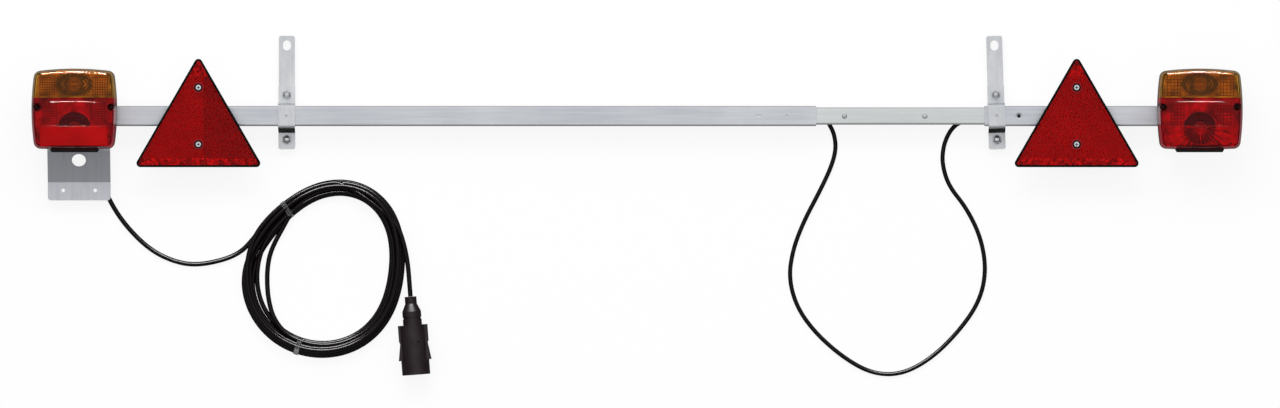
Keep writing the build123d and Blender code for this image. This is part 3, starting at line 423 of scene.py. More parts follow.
@dataclass(frozen=True)
class LensPlastic(Finish):
    """Clear coloured lens plastic with faint flow marks."""

    colour: Colour
    deep: Colour
    roughness: float = 0.03
    bend: float = 1.22
    clear: float = 1.0
    gloss: Colour = WHITE
    flow_scale: float = 24.0
    flow_edge: Pair = (0.35, 0.7)
    ripple_scale: float = 90.0
    ripple_relief: Pair = (0.05, 0.0004)

    def wire(self, graph: Graph) -> None:
        """Wire a coloured, see-through plastic with slightly uneven gloss.

        Args:
            graph: Nodes of the material.
        """
        where = graph.place(EVEN)
        flow = graph.noise(where, self.flow_scale, detail=3.0)
        ripples = graph.noise(where, self.ripple_scale, detail=2.0)
        graph.shade({
            "Base Color": graph.mix(graph.spread(flow, *self.flow_edge), self.deep, self.colour),
            "Roughness": self.roughness,
            "IOR": self.bend,
            "Specular Tint": (*self.gloss, 1.0),
            "Transmission Weight": self.clear,
            "Normal": graph.bump(ripples, *self.ripple_relief),
        })


@dataclass(frozen=True)
class PlatedTray(Finish):
    """Bright tray inside a lamp, half plated, with dull patches."""

    colour: Colour = (0.92, 0.91, 0.88)
    dull: Colour = (0.17, 0.165, 0.155)
    metal: float = 0.35
    roughness: float = 0.38
    patch_scale: float = 70.0
    patch_edge: Pair = (0.35, 0.65)
    wear_edge: Pair = (0.3, 0.7)
    wear: Pair = (0.1, -0.1)

    def wire(self, graph: Graph) -> None:
        """Wire patchy plating.

        Args:
            graph: Nodes of the material.
        """
        patches = graph.noise(graph.place(EVEN), self.patch_scale, detail=4.0)
        graph.shade({
            "Base Color": graph.mix(graph.spread(patches, *self.patch_edge), self.dull, self.colour),
            "Metallic": self.metal,
            "Roughness": graph.wear(patches, self.wear_edge, self.roughness, self.wear),
        })


@dataclass(frozen=True)
class FoilCells(Finish):
    """Moulded corner prisms of a reflector, deep red and mirror-like, cell by cell a little different."""

    colour: Colour
    deep: Colour
    sparkle: float = 0.15
    metal: float = 0.6
    roughness: float = 0.32
    slow_scale: float = 22.0
    cell_scale: float = 260.0
    tone_edge: Pair = (0.3, 0.75)
    wear_edge: Pair = (0.0, 1.0)
    wear: Pair = (0.0, 0.1)

    def wire(self, graph: Graph) -> None:
        """Wire slow changes of depth over the face and a change from cell to cell.

        Args:
            graph: Nodes of the material.
        """
        where = graph.place(EVEN)
        slow = graph.noise(where, self.slow_scale, detail=3.0)
        cells = graph.cells(where, self.cell_scale)
        share = graph.weigh(slow, 1 - self.sparkle, cells, self.sparkle)
        graph.shade({
            "Base Color": graph.mix(graph.spread(share, *self.tone_edge), self.deep, self.colour),
            "Metallic": self.metal,
            "Roughness": graph.wear(cells, self.wear_edge, self.roughness, self.wear),
        })


@dataclass(frozen=True)
class Brass(Finish):
    """Dull brass of bulb caps and plug pins."""

    colour: Colour = (0.62, 0.43, 0.16)
    roughness: float = 0.25
    patch_scale: float = 130.0
    patch_edge: Pair = (0.4, 0.7)
    patch_dark: float = 0.55
    wear_edge: Pair = (0.3, 0.7)
    wear: Pair = (0.0, 0.2)

    def wire(self, graph: Graph) -> None:
        """Wire tarnish in patches.

        Args:
            graph: Nodes of the material.
        """
        tarnish = graph.noise(graph.place(EVEN), self.patch_scale, detail=4.0)
        dull = darker(self.colour, self.patch_dark)
        graph.shade({
            "Base Color": graph.mix(graph.spread(tarnish, *self.patch_edge), self.colour, dull),
            "Metallic": 1.0,
            "Roughness": graph.wear(tarnish, self.wear_edge, self.roughness, self.wear),
        })


TUBE_ZINC = Zinc("tube_zinc", pale=(0.86, 0.885, 0.93), dull=(0.74, 0.77, 0.83))
CHANNEL_ZINC = Zinc("channel_zinc", pale=(0.92, 0.955, 0.96), dull=(0.86, 0.895, 0.905), roughness=0.45)
SHEET_ZINC = Zinc("sheet_zinc", pale=(0.93, 0.945, 0.965), dull=(0.78, 0.805, 0.85),
                  streak=(30.0, 6.0, 30.0))
BRACKET_ZINC = Zinc("bracket_zinc", pale=(0.76, 0.78, 0.84), dull=(0.67, 0.69, 0.75),
                    streak=(28.0, 2.0, 2.0))

FASTENER = BrightSteel("plated_fastener")
SILVER_SCREW = BrightSteel("silver_screw", (0.90, 0.93, 0.97), roughness=0.2)
WIRE = BrightSteel("bright_wire", (0.85, 0.84, 0.82), roughness=0.3)
BRASS = Brass("dull_brass")
CAP_BRASS = Brass("tarnished_cap", (0.30, 0.21, 0.09))
TRAY = PlatedTray("plated_tray")

LAMP_BLACK = BlackMoulding("lamp_black", (0.008, 0.0075, 0.008), dust=(0.03, 0.028, 0.028),
                           roughness=0.42)
EDGE_BLACK = BlackMoulding("edge_black", (0.008, 0.0075, 0.008), dust=(0.02, 0.019, 0.019),
                           roughness=0.5, shine=0.04)
PLUG_BLACK = BlackMoulding("plug_black", (0.0210, 0.0125, 0.0145), dust=(0.0320, 0.0220, 0.0250),
                           roughness=0.40, shine=0.11)
RUBBER = BlackMoulding("rubber_black", (0.010, 0.009, 0.009), dust=(0.03, 0.028, 0.028),
                       roughness=0.62, grain_scale=900.0)
# Black for pieces that paint shade: bowl liners, dishes, fins and cross recesses.
PAINTED_SHADE_BLACK = BlackMoulding("painted_shade_black", (0.006, 0.005, 0.005), dust=(0.014, 0.012, 0.012),
                           roughness=0.4)
SCREW_BLACK = BlackMoulding("screw_black", (0.008, 0.008, 0.008), dust=(0.02, 0.02, 0.02),
                            roughness=0.25, grain_scale=600.0)
SHEATH = CableSheath("cable_sheath")

RED_PLASTIC = LensPlastic("red_lens_plastic", (0.93, 0.005, 0.032), deep=(0.87, 0.004, 0.028), clear=0.97)
RED_PRISMS = LensPlastic("red_prism_plastic", (1.0, 0.10, 0.12), deep=(0.97, 0.08, 0.10),
                         bend=1.42, gloss=(1.0, 0.3, 0.3))
RED_DIFFUSER = LensPlastic("red_diffuser", (0.94, 0.008, 0.030), deep=(0.78, 0.005, 0.022),
                           roughness=0.25, bend=1.3, clear=0.30)
# Dark rib plastic: painted shade lines between the red pillow prisms.
RED_SHADE_RIBS = LensPlastic("red_shade_rib_plastic", (0.035, 0.001, 0.002), deep=(0.025, 0.001, 0.002),
                       roughness=0.3, bend=1.1, clear=0.2)
RED_BEADS = LensPlastic("red_bead_plastic", (0.96, 0.004, 0.014), deep=(0.90, 0.003, 0.012),
                        roughness=0.04, bend=1.47, clear=0.97)
AMBER_PLASTIC = LensPlastic("amber_lens_plastic", (0.90, 0.50, 0.060), deep=(0.80, 0.42, 0.045),
                            clear=0.97)
AMBER_PRISMS = LensPlastic("amber_prism_plastic", (1.0, 0.74, 0.30), deep=(1.0, 0.70, 0.26),
                           bend=1.42, gloss=(1.0, 0.7, 0.4))
# Dark rib plastic: painted shade lines between the amber pillow prisms.
AMBER_SHADE_RIBS = LensPlastic("amber_shade_rib_plastic", (0.060, 0.024, 0.005), deep=(0.045, 0.018, 0.004),
                         roughness=0.3, bend=1.1, clear=0.2)
AMBER_BEADS = LensPlastic("amber_bead_plastic", (0.90, 0.50, 0.060), deep=(0.80, 0.42, 0.045),
                          roughness=0.05, bend=1.68, clear=0.97)
CLEAR_PLASTIC = LensPlastic("clear_plastic", (0.96, 0.96, 0.95), deep=(0.9, 0.9, 0.89))
BULB_GLASS = LensPlastic("bulb_glass", (1.0, 0.99, 0.97), deep=(0.96, 0.95, 0.93),
                         roughness=0.0, bend=1.3)
TAPE_FILM = LensPlastic("tape_film", (0.97, 0.97, 0.98), deep=(0.9, 0.9, 0.92),
                        roughness=0.08, bend=1.3, clear=0.96)

REFLECTOR_PLASTIC = LensPlastic("reflector_plastic", (0.96, 0.05, 0.06), deep=(0.90, 0.04, 0.05),
                                roughness=0.04, bend=1.18)
BRIGHT_CELLS = FoilCells("bright_reflector_cells", (0.60, 0.014, 0.021), deep=(0.49, 0.010, 0.016))
# Painted shade: a darker copy of the cells for one flank of the face.
SHADE_PAINTED_CELLS = FoilCells("deep_reflector_cells", (0.46, 0.012, 0.018), deep=(0.38, 0.009, 0.014))
# Painted glint: brighter, sparkling cells along the bottom edge and at the tip.
GLINT_PAINTED_CELLS = FoilCells("edge_reflector_cells", (0.95, 0.06, 0.07), deep=(0.34, 0.008, 0.012), sparkle=0.8)


def dress(node: str, finish: Finish) -> None:
    """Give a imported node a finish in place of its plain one.

    Args:
        node: Name of the node.
        finish: Finish that it gets.
    """
    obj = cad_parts[node]
    if not obj.material_slots:
        obj.data.materials.append(finish.material())
    for slot in obj.material_slots:
        slot.material = finish.material()
    LOG.info("%s keeps its packed shape in %s", node, finish.name)


class Sketch:
    """Corners and faces of one piece while it is being built, in metres in the frame."""

    def __init__(self) -> None:
        """Start empty."""
        self.corners: list[Vector] = []
        self.faces: list[tuple[int, ...]] = []

    def turn(self, outline: Sequence[Pair], foot: Vector, steps: int = 40,
             lie: Matrix | None = None) -> None:
        """Add a turned form.

        Args:
            outline: Radius and height in millimetres, from the first end to the last.
            foot: Where the axis stands at height 0.
            steps: Number of flats round the form.
            lie: Turns the axis away from upright.
        """
        lie = lie or Matrix.Identity(3)
        rings = []
        for radius, height in outline:
            ring = []
            count = steps if radius > 0 else 1
            for step in range(count):
                angle = 2 * math.pi * step / steps
                arm = Vector((radius * math.cos(angle), radius * math.sin(angle), height)) * MM
                ring.append(len(self.corners))
                self.corners.append(foot + lie @ arm)
            rings.append(ring)
        for low, high in zip(rings, rings[1:]):
            self.join_rings(low, high)

    def join_rings(self, low: list[int], high: list[int]) -> None:
        """Close the skin between two rings of corners.

        Args:
            low: Numbers of the first ring's corners, or of a single point.
            high: Numbers of the second ring's corners, or of a single point.
        """
        steps = max(len(low), len(high))
        for step in range(steps):
            following = (step + 1) % steps
            near = [low[step % len(low)], low[following % len(low)]]
            far = [high[following % len(high)], high[step % len(high)]]
            self.faces.append(tuple(dict.fromkeys(near + far)))

    def pull(self, path: Sequence[Vector], radius: float, sides: int = 14) -> None:
        """Add a round tube with closed ends along a path.

        Args:
            path: Points of the centreline in metres.
            radius: Radius in metres.
            sides: Number of flats round the tube.
        """
        across = (path[1] - path[0]).orthogonal().normalized()
        rings = []
        for index, point in enumerate(path):
            ahead = path[min(index + 1, len(path) - 1)] - path[max(index - 1, 0)]
            ahead.normalize()
            across = (across - ahead * across.dot(ahead)).normalized()
            beside = ahead.cross(across)
            ring = []
            for side in range(sides):
                angle = 2 * math.pi * side / sides
                ring.append(len(self.corners))
                self.corners.append(point + (across * math.cos(angle) + beside * math.sin(angle)) * radius)
            rings.append(ring)
        for low, high in zip(rings, rings[1:]):
            self.join_rings(low, high)
        self.faces.append(tuple(reversed(rings[0])))
        self.faces.append(tuple(rings[-1]))

    def raise_outline(self, outline: Sequence[Pair], foot: Vector, low: float, high: float) -> None:
        """Add an upright form with the same outline at every height.

        Args:
            outline: Corners in millimetres, counter-clockwise from above.
            foot: Where the outline's own zero stands.
            low: Height of the lower face above the foot, in millimetres.
            high: Height of the upper face above the foot, in millimetres.
        """
        rings = []
        for height in (low, high):
            rings.append(list(range(len(self.corners), len(self.corners) + len(outline))))
            self.corners += [foot + Vector((x, y, height)) * MM for x, y in outline]
        self.join_rings(*rings)
        self.faces.append(tuple(reversed(rings[0])))
        self.faces.append(tuple(rings[1]))

    def plate(self, cells: Cells, top: Surface, under: Surface) -> None:
        """Add a closed plate between two surfaces over the same sheet.

        Args:
            cells: Number of cells across and along.
            top: Place on the upper surface for shares across and along.
            under: Place on the lower surface for shares across and along.
        """
        columns, rows = cells
        first = len(self.corners)
        width = columns + 1
        count = width * (rows + 1)
        for surface in (top, under):
            for row in range(rows + 1):
                for column in range(width):
                    self.corners.append(surface(column / columns, row / rows))
        for row in range(rows):
            for column in range(columns):
                corner = first + row * width + column
                loop = (corner, corner + 1, corner + 1 + width, corner + width)
                self.faces.append(loop)
                self.faces.append(tuple(count + number for number in reversed(loop)))
        edge = [first + column for column in range(columns)]
        edge += [first + row * width + columns for row in range(rows)]
        edge += [first + rows * width + column for column in range(columns, 0, -1)]
        edge += [first + row * width for row in range(rows, 0, -1)]
        for here, following in zip(edge, edge[1:] + edge[:1]):
            self.faces.append((following, here, here + count, following + count))

    def finish(self, name: str, finish: Finish, body: Body, slot: str,
               crease: float = CREASE) -> bpy.types.Object:
        """Turn the sketch into a piece of the bar.

        Args:
            name: Name of the piece.
            finish: Its finish.
            body: Body that it rides on.
            slot: Material slot of the record; not used.
            crease: Angle in degrees above which an edge stays sharp.

        Returns:
            The piece.
        """
        obj = self.to_object(name, crease)
        obj.data.materials.append(finish.material())
        return settle(obj, body)

    def to_object(self, name: str, crease: float = CREASE) -> bpy.types.Object:
        """Make a bare mesh object of the sketch.

        Args:
            name: Name of the object.
            crease: Angle in degrees above which an edge stays sharp.

        Returns:
            The object, shaded smooth up to the crease angle.
        """
        mesh = bpy.data.meshes.new(name)
        mesh.from_pydata(self.corners, [], self.faces)
        mesh.validate()
        mesh.shade_smooth()
        mesh.set_sharp_from_angle(angle=math.radians(crease))
        obj = bpy.data.objects.new(name, mesh)
        bpy.context.scene.collection.objects.link(obj)
        return obj


def settle(obj: bpy.types.Object, body: Body) -> bpy.types.Object:
    """Let a piece ride on a body and report it.

    Args:
        obj: The piece.
        body: Body that it rides on.

    Returns:
        The same piece.
    """
    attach(obj, body.value)
    LOG.info("%s rides on %s", obj.name, body.value)
    return obj


def top_of(node: str, x: float, y: float) -> float:
    """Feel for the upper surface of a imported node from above.

    Args:
        node: Name of the node.
        x: Along the bar, in bar millimetres.
        y: Across the bar, in bar millimetres.

    Returns:
        Height of the surface in millimetres.
    """
    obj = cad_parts[node]
    back = obj.matrix_world.inverted()
    down = back.to_3x3() @ Vector((0.0, 0.0, -1.0))
    graph = bpy.context.evaluated_depsgraph_get()
    spot = obj.ray_cast(back @ at(x, y, FEELER_HEIGHT), down, depsgraph=graph)[1]
    return (obj.matrix_world @ spot).z / MM


def carve(obj: bpy.types.Object, cutter: bpy.types.Object) -> None:
    """Cut one object out of another for good and throw the cutter away.

    Args:
        obj: What is cut.
        cutter: What is taken out of it.
    """
    knife = obj.modifiers.new("cut", "BOOLEAN")
    knife.operation = "DIFFERENCE"
    knife.solver = "EXACT"
    knife.object = cutter
    graph = bpy.context.evaluated_depsgraph_get()
    cut = bpy.data.meshes.new_from_object(obj.evaluated_get(graph))
    obj.modifiers.clear()
    obj.data = cut
    bpy.data.objects.remove(cutter)


def cord_line(name: str, route: Iterable[Vector], radius: float) -> bpy.types.Object:
    """Lay a smooth line through given route points.

    Args:
        name: Name of the curve.
        route: Points of the route in metres.
        radius: Half the cord's thickness in metres, or 0 for a bare line.

    Returns:
        The curve.
    """
    points = list(route)
    curve = bpy.data.curves.new(name, "CURVE")
    curve.dimensions = "3D"
    curve.resolution_u = CORD_STEPS
    curve.bevel_depth = radius
    curve.bevel_resolution = CORD_FACETS
    curve.use_fill_caps = True
    spline = curve.splines.new("NURBS")
    spline.points.add(len(points) - 1)
    for knot, point in zip(spline.points, points):
        knot.co = (*point, 1.0)
    spline.order_u = CORD_ORDER
    spline.use_endpoint_u = True
    obj = bpy.data.objects.new(name, curve)
    bpy.context.scene.collection.objects.link(obj)
    return obj


def line_points(curve: bpy.types.Object) -> list[Vector]:
    """Read the points of a bare curve.

    Args:
        curve: The curve.

    Returns:
        Its points in order, in metres.
    """
    bpy.context.view_layer.update()
    graph = bpy.context.evaluated_depsgraph_get()
    mesh = bpy.data.meshes.new_from_object(curve.evaluated_get(graph))
    points = [vertex.co.copy() for vertex in mesh.vertices]
    bpy.data.meshes.remove(mesh)
    return points


def length_of(points: Sequence[Vector]) -> float:
    """Return the length of a line through points."""
    return sum((after - before).length for before, after in zip(points, points[1:]))


def between(ends: Pair, share: float) -> float:
    """Return the value at a share of the way from one end to the other."""
    return ends[0] + share * (ends[1] - ends[0])


def ease(share: float) -> float:
    """Return a share that starts and ends gently."""
    return share * share * (3 - 2 * share)


@dataclass
class Studio:
    """Camera above the bar, soft light and a glint strip to the north, pale floor and white surround."""

    camera_place: Point = (0.0036, -0.1075, 20.0)
    lens: float = 449.2
    sensor: float = 36.0
    sight: float = 100.0
    key_place: Point = (-0.3, 2.3, 2.7)
    key_size: Pair = (3.0, 1.2)
    key_power: float = 34.0
    rim_place: Point = (-0.3, 2.45, 2.6)
    rim_size: Pair = (3.2, 1.4)
    rim_power: float = 900.0
    floor_half: float = 14.0
    floor_grey: float = 0.18
    floor_glow: float = 0.88
    floor_near: Pair = (0.3, 0.9)
    floor_gloss: Pair = (0.08, 0.5)
    sky_towards: Point = (0.0, 0.45, 0.89)
    sky_edge: Pair = (0.18, 0.95)
    sky_glow: Pair = (0.06, 0.98)
    sky_gloss: float = 0.15

    def build(self) -> None:
        """Set up everything round the bar, except the glint strip, which needs its pieces first."""
        scene = bpy.context.scene
        scene.view_settings.view_transform = "Standard"
        self.add_camera()
        self.add_key()
        self.add_floor()
        self.add_sky()

    def add_camera(self) -> None:
        """Hang the camera above the bar, looking straight down with the hanger slots up."""
        data = bpy.data.cameras.new("camera")
        data.lens = self.lens
        data.sensor_width = self.sensor
        data.clip_end = self.sight
        camera = bpy.data.objects.new("camera", data)
        camera.location = self.camera_place
        bpy.context.scene.collection.objects.link(camera)
        bpy.context.scene.camera = camera

    def add_lamp(self, name: str, place: Point, size: Pair, power: float) -> bpy.types.Object:
        """Hang one flat light, aimed at the bar.

        Args:
            name: Name of the light.
            place: Where it hangs, in metres.
            size: Its width and height in metres.
            power: Its power in watts.

        Returns:
            The light.
        """
        data = bpy.data.lights.new(name, "AREA")
        data.shape = "RECTANGLE"
        data.size, data.size_y = size
        data.energy = power
        lamp = bpy.data.objects.new(name, data)
        lamp.location = place
        lamp.rotation_mode = "QUATERNION"
        lamp.rotation_quaternion = (-Vector(place)).to_track_quat("-Z", "Y")
        lamp.visible_camera = False
        bpy.context.scene.collection.objects.link(lamp)
        return lamp

    def add_key(self) -> None:
        """Hang the soft light to the north, which gives shape but no glare on the metal."""
        key = self.add_lamp("key", self.key_place, self.key_size, self.key_power)
        key.visible_glossy = False

    def add_rim(self, names: Iterable[str]) -> None:
        """Hang the strip that draws glints on cables, plug and beads only.

        Args:
            names: Names of the pieces that it shines on.
        """
        rim = self.add_lamp("rim", self.rim_place, self.rim_size, self.rim_power)
        rim.visible_diffuse = False
        smooth = bpy.data.collections.new("smooth_pieces")
        for name in names:
            smooth.objects.link(bpy.data.objects[name])
        rim.light_linking.receiver_collection = smooth

    def white_share(self, graph: Graph, glossy: Value) -> Socket:
        """Tell how far a ray sees plain white: fully from the camera and through clear plastic.

        Args:
            graph: Nodes of the floor or the sky.
            glossy: How far a mirrored ray sees it.

        Returns:
            The share of white.
        """
        path = graph.add("ShaderNodeLightPath").outputs
        seen = graph.maths("MAXIMUM", path["Is Camera Ray"], path["Is Transmission Ray"])
        return graph.maths("MAXIMUM", seen, graph.maths("MULTIPLY", path["Is Glossy Ray"], glossy))

    def add_floor(self) -> None:
        """Lay the pale floor, which keeps a faint shadow; in reflections its glow is painted darker near
        the bar.
        """
        sketch = Sketch()
        half = self.floor_half
        corners = ((-half, -half), (half, -half), (half, half), (-half, half))
        sketch.corners = [Vector((x, y, 0.0)) for x, y in corners]
        sketch.faces = [(0, 1, 2, 3)]
        floor = sketch.to_object("floor")
        material = bpy.data.materials.new("pale_floor")
        material.use_nodes = True
        graph = Graph(material.node_tree)
        pale = (self.floor_grey, self.floor_grey, self.floor_grey, 1.0)
        matt = graph.add("ShaderNodeBsdfDiffuse", {"Color": pale})
        spot = graph.add("ShaderNodeNewGeometry").outputs["Position"]
        from_bar = graph.maths("ABSOLUTE", graph.add("ShaderNodeSeparateXYZ", {0: spot}).outputs["Y"])
        # Reflections see the glow weaker near the bar: painted shade of the bar on the floor.
        gloss_with_painted_shade = graph.spread(from_bar, *self.floor_near, *self.floor_gloss)
        strength = graph.maths("MULTIPLY", self.white_share(graph, gloss_with_painted_shade), self.floor_glow)
        glow = graph.add("ShaderNodeEmission", {"Strength": strength})
        both = graph.add("ShaderNodeAddShader", {0: matt.outputs[0], 1: glow.outputs[0]})
        graph.add("ShaderNodeOutputMaterial", {"Surface": both.outputs[0]})
        floor.data.materials.append(material)

    def add_sky(self) -> None:
        """Surround the bar with a soft glow, brightest overhead to the north, and white to the camera."""
        world = bpy.data.worlds.new("surround")
        world.use_nodes = True
        graph = Graph(world.node_tree)
        towards = graph.add("ShaderNodeTexCoord").outputs["Generated"]
        sockets = {0: towards, 1: self.sky_towards}
        facing = graph.add("ShaderNodeVectorMath", sockets, operation="DOT_PRODUCT").outputs["Value"]
        low, high = self.sky_edge
        dark, bright = self.sky_glow
        sockets = {"Value": facing, "From Min": low, "From Max": high, "To Min": dark, "To Max": bright}
        soft = graph.add("ShaderNodeMapRange", sockets, interpolation_type="SMOOTHSTEP").outputs[0]
        strength = graph.mix_values(self.white_share(graph, self.sky_gloss), soft, 1.0)
        back = graph.add("ShaderNodeBackground", {"Strength": strength})
        graph.add("ShaderNodeOutputWorld", {"Surface": back.outputs[0]})
        bpy.context.scene.world = world


PLUG_SKIN = ("plug_boot", "plug_collar", "plug_shell")


@dataclass
class SupplyLead:
    """Supply cable from the left lamp's gland through a loose coil to the plug, and the plug itself."""

    thickness: float = 0.006
    turns: float = 8.24
    points_per_turn: int = 24
    centre: Point = (-394.7, -190.8, 0.0)
    reach: float = 104.7
    # Rows: waves round the coil, cosine part, sine part.
    swell: tuple[Point, ...] = ((1, 2.6, -1.5), (2, -4.2, 6.4), (3, -3.1, -0.4), (4, -0.5, -0.4))
    start_angle: float = 148.0
    jog_share: float = 0.125
    gland_end: Point = (-680.7, -28.4, 28.0)
    to_coil: tuple[Point, ...] = (
        (-680.7, -28.4, 28.0), (-680.7, -28.4, 20.0), (-680.0, -32.8, 11.5), (-678.2, -40.6, 6.0),
        (-676.5, -54.0, 3.6), (-673.5, -75.0, 3.2), (-664.2, -103.0, 3.2), (-643.0, -136.5, 3.2),
        (-611.5, -167.7, 3.2), (-580.2, -182.7, 3.2), (-552.8, -186.6, 3.2), (-520.0, -180.2, 3.2),
        (-500.0, -171.4, 3.2), (-487.0, -159.6, 3.2),
    )
    to_plug: tuple[Point, ...] = (
        (-303.5, -131.0, 14.6), (-293.5, -159.0, 15.5), (-288.9, -183.0, 17.0), (-287.1, -201.97, 17.5),
        (-285.3, -225.9, 17.5),
    )
    # Rows, one for each turn and one to end on: distance in from the outermost strand, height.
    laps: Outline = (
        (0.0, 3.2), (5.7, 3.2), (11.4, 3.2), (17.1, 3.2), (14.2, 8.8), (8.6, 8.8), (2.9, 8.8),
        (6.2, 14.3), (0.2, 14.4), (0.2, 14.4),
    )
    band: Pair = (0.93, 0.14)
    odd_lift: float = 1.0
    # Rows: size, waves for each turn, start.
    wobble: tuple[Point, ...] = ((0.5, 1.23, 0.7), (0.4, 2.31, 2.1))
    stray_turn: float = 4.931
    stray_width: float = 0.144
    stray_reach: float = 16.5
    stray_power: int = 4
    tape_angles: Pair = (121.5, 252.0)
    tape_width: float = 6.0
    tape_reach: Pair = (3.04, 3.16)
    tape_facets: int = 16
    tape_crease: float = 50.0

    def outer_reach(self, angle: float) -> float:
        """Tell how far out the coil lies.

        Args:
            angle: Direction from the coil's middle, in radians.

        Returns:
            Distance of the outermost strand from the middle, in millimetres.
        """
        reach = self.reach
        for wave, cosine, sine in self.swell:
            reach += cosine * math.cos(wave * angle) + sine * math.sin(wave * angle)
        return reach

    def coil_place(self, turn: float) -> Point:
        """Find a place on the coil, whose turns step inwards or up at the same spot.

        Args:
            turn: Turns from where the cable joins the coil.

        Returns:
            The place in bar millimetres.
        """
        angle = math.radians(self.start_angle - 360 * turn)
        lap = int(turn)
        step = ease(max(0.0, (turn - lap - 1) / self.jog_share + 1))
        inside, height = (between(ends, step) for ends in zip(*self.laps[lap:lap + 2]))
        inside *= self.band[0] - self.band[1] * math.cos(angle)
        height += self.odd_lift * (lap % 2) * (1 + math.cos(angle))
        for size, pace, start in self.wobble:
            inside += size * math.sin(2 * math.pi * pace * turn + start)
        away = ((turn - self.stray_turn) / self.stray_width) ** self.stray_power
        inside += self.stray_reach * math.exp(-away)
        height -= (height - self.laps[0][1]) * math.exp(-2 * away)
        reach = self.outer_reach(angle) - inside
        return self.centre[0] + reach * math.cos(angle), self.centre[1] + reach * math.sin(angle), height

    def coil_points(self) -> list[Vector]:
        """Return the route round the coil, clockwise from where the cable joins it."""
        count = round(self.turns * self.points_per_turn)
        return [at(*self.coil_place(self.turns * step / count)) for step in range(1, count)]

    def build(self) -> None:
        """Lay the cable, tape its coil and dress the plug."""
        route = [at(*point) for point in self.to_coil]
        route += self.coil_points()
        route += [at(*point) for point in self.to_plug]
        bare = cord_line("supply_line", route, 0.0)
        length = length_of(line_points(bare))
        bpy.data.objects.remove(bare)
        cord = cord_line("supply_cord", route, self.thickness / 2)
        cord.data.materials.append(SHEATH.material())
        settle(cord, Body.BAR)
        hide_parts("supply_cable", "supply_coil", "plug_cable")
        tapes = [self.add_tape(number, angle) for number, angle in enumerate(self.tape_angles)]
        self.dress_plug()
        LOG.info("supply_cord is %.2f m long", length)

    def strands_at(self, angle: float) -> list[Pair]:
        """List the strands that pass an angle.

        Args:
            angle: Direction from the coil's middle, in degrees.

        Returns:
            Distance from the middle and height of every strand.
        """
        first = (self.start_angle - angle) / 360 % 1
        strands = []
        for lap in range(math.ceil(self.turns - first)):
            x, y, height = self.coil_place(first + lap)
            strands.append((math.hypot(x - self.centre[0], y - self.centre[1]), height))
        return strands

    def add_tape(self, number: int, angle: float) -> bpy.types.Object:
        """Wrap one band of clear tape tightly round the coil.

        Args:
            number: Number of the band.
            angle: Where it sits on the coil, in degrees.

        Returns:
            The band.
        """
        spin = math.radians(angle)
        out = Vector((math.cos(spin), math.sin(spin), 0.0))
        along = Vector((-math.sin(spin), math.cos(spin), 0.0))
        facets = [2 * math.pi * step / self.tape_facets for step in range(self.tape_facets)]
        compass = [Vector((math.cos(facet), math.sin(facet))) for facet in facets]
        spots = [(Vector(strand), way) for strand in self.strands_at(angle) for way in compass]
        hull = convex_hull_2d([middle + way * self.tape_reach[0] for middle, way in spots])
        sketch = Sketch()
        rings = []
        for share, reach in ((-0.5, 0), (-0.5, 1), (0.5, 1), (0.5, 0)):
            ring = []
            for index in hull:
                middle, way = spots[index]
                edge = middle + way * self.tape_reach[reach]
                place = Vector(self.centre) + out * edge.x + along * (share * self.tape_width)
                ring.append(len(sketch.corners))
                sketch.corners.append(at(place.x, place.y, edge.y))
            rings.append(ring)
        for near, far in zip(rings, rings[1:] + rings[:1]):
            sketch.join_rings(near, far)
        name = f"coil_tape_{number + 1}"
        return sketch.finish(name, TAPE_FILM, Body.BAR, "clear_window", self.tape_crease)

    def dress_plug(self) -> None:
        """Dress the plug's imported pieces."""
        for node in (*PLUG_SKIN, "plug_insert"):
            dress(node, PLUG_BLACK)
        dress("plug_pins", BRASS)
        # The plug screw is black so that it reads as the shaded hole it sits in: painted shade.
        dress("plug_screw", SCREW_BLACK)


@dataclass
class LinkLead:
    """Link cable: a slack loop from the main tube to the arm, and its runs inside them."""

    thickness: float = 0.0055
    route: tuple[Point, ...] = (
        (222.0, -3.6, 13.6), (229.0, -3.6, 13.6), (234.5, -4.6, 8.0), (239.3, -10.8, 3.6),
        (245.0, -22.4, 3.0), (247.4, -40.3, 3.0), (241.9, -62.2, 3.0), (227.9, -92.1, 3.0),
        (206.5, -132.4, 3.0), (193.1, -167.7, 3.0), (188.1, -202.6, 3.0), (198.1, -239.4, 3.0),
        (222.0, -272.2, 3.0), (256.8, -302.6, 3.0), (292.6, -322.5, 3.0), (329.4, -323.5, 3.0),
        (367.2, -303.1, 3.0), (402.1, -268.2, 3.0), (427.0, -231.9, 3.0), (435.4, -193.6, 3.0),
        (429.0, -152.8, 3.0), (411.0, -115.5, 3.0), (388.1, -87.1, 3.0), (380.2, -60.2, 3.0),
        (381.2, -40.3, 3.0), (386.6, -24.4, 3.0), (394.6, -12.8, 3.6), (405.0, -6.5, 7.5),
        (416.0, -3.7, 12.0), (425.0, -3.6, 13.6), (433.0, -3.6, 13.6),
    )
    bend_from: float = 250.0
    bend_to: float = 378.0
    sides: int = 16

    def build(self) -> None:
        """Lay the loop and dress the runs inside the tubes."""
        line = cord_line("link_line", [at(*point) for point in self.route], 0.0)
        path = line_points(line)
        bpy.data.objects.remove(line)
        sketch = Sketch()
        sketch.pull(path, self.thickness / 2, self.sides)
        cord = sketch.to_object("link_cord", SOFT_CREASE)
        cord.data.materials.append(SHEATH.material())
        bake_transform(cord)
        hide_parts("link_cable")
        dress("main_tube_cable", SHEATH)
        dress("arm_cable", SHEATH)


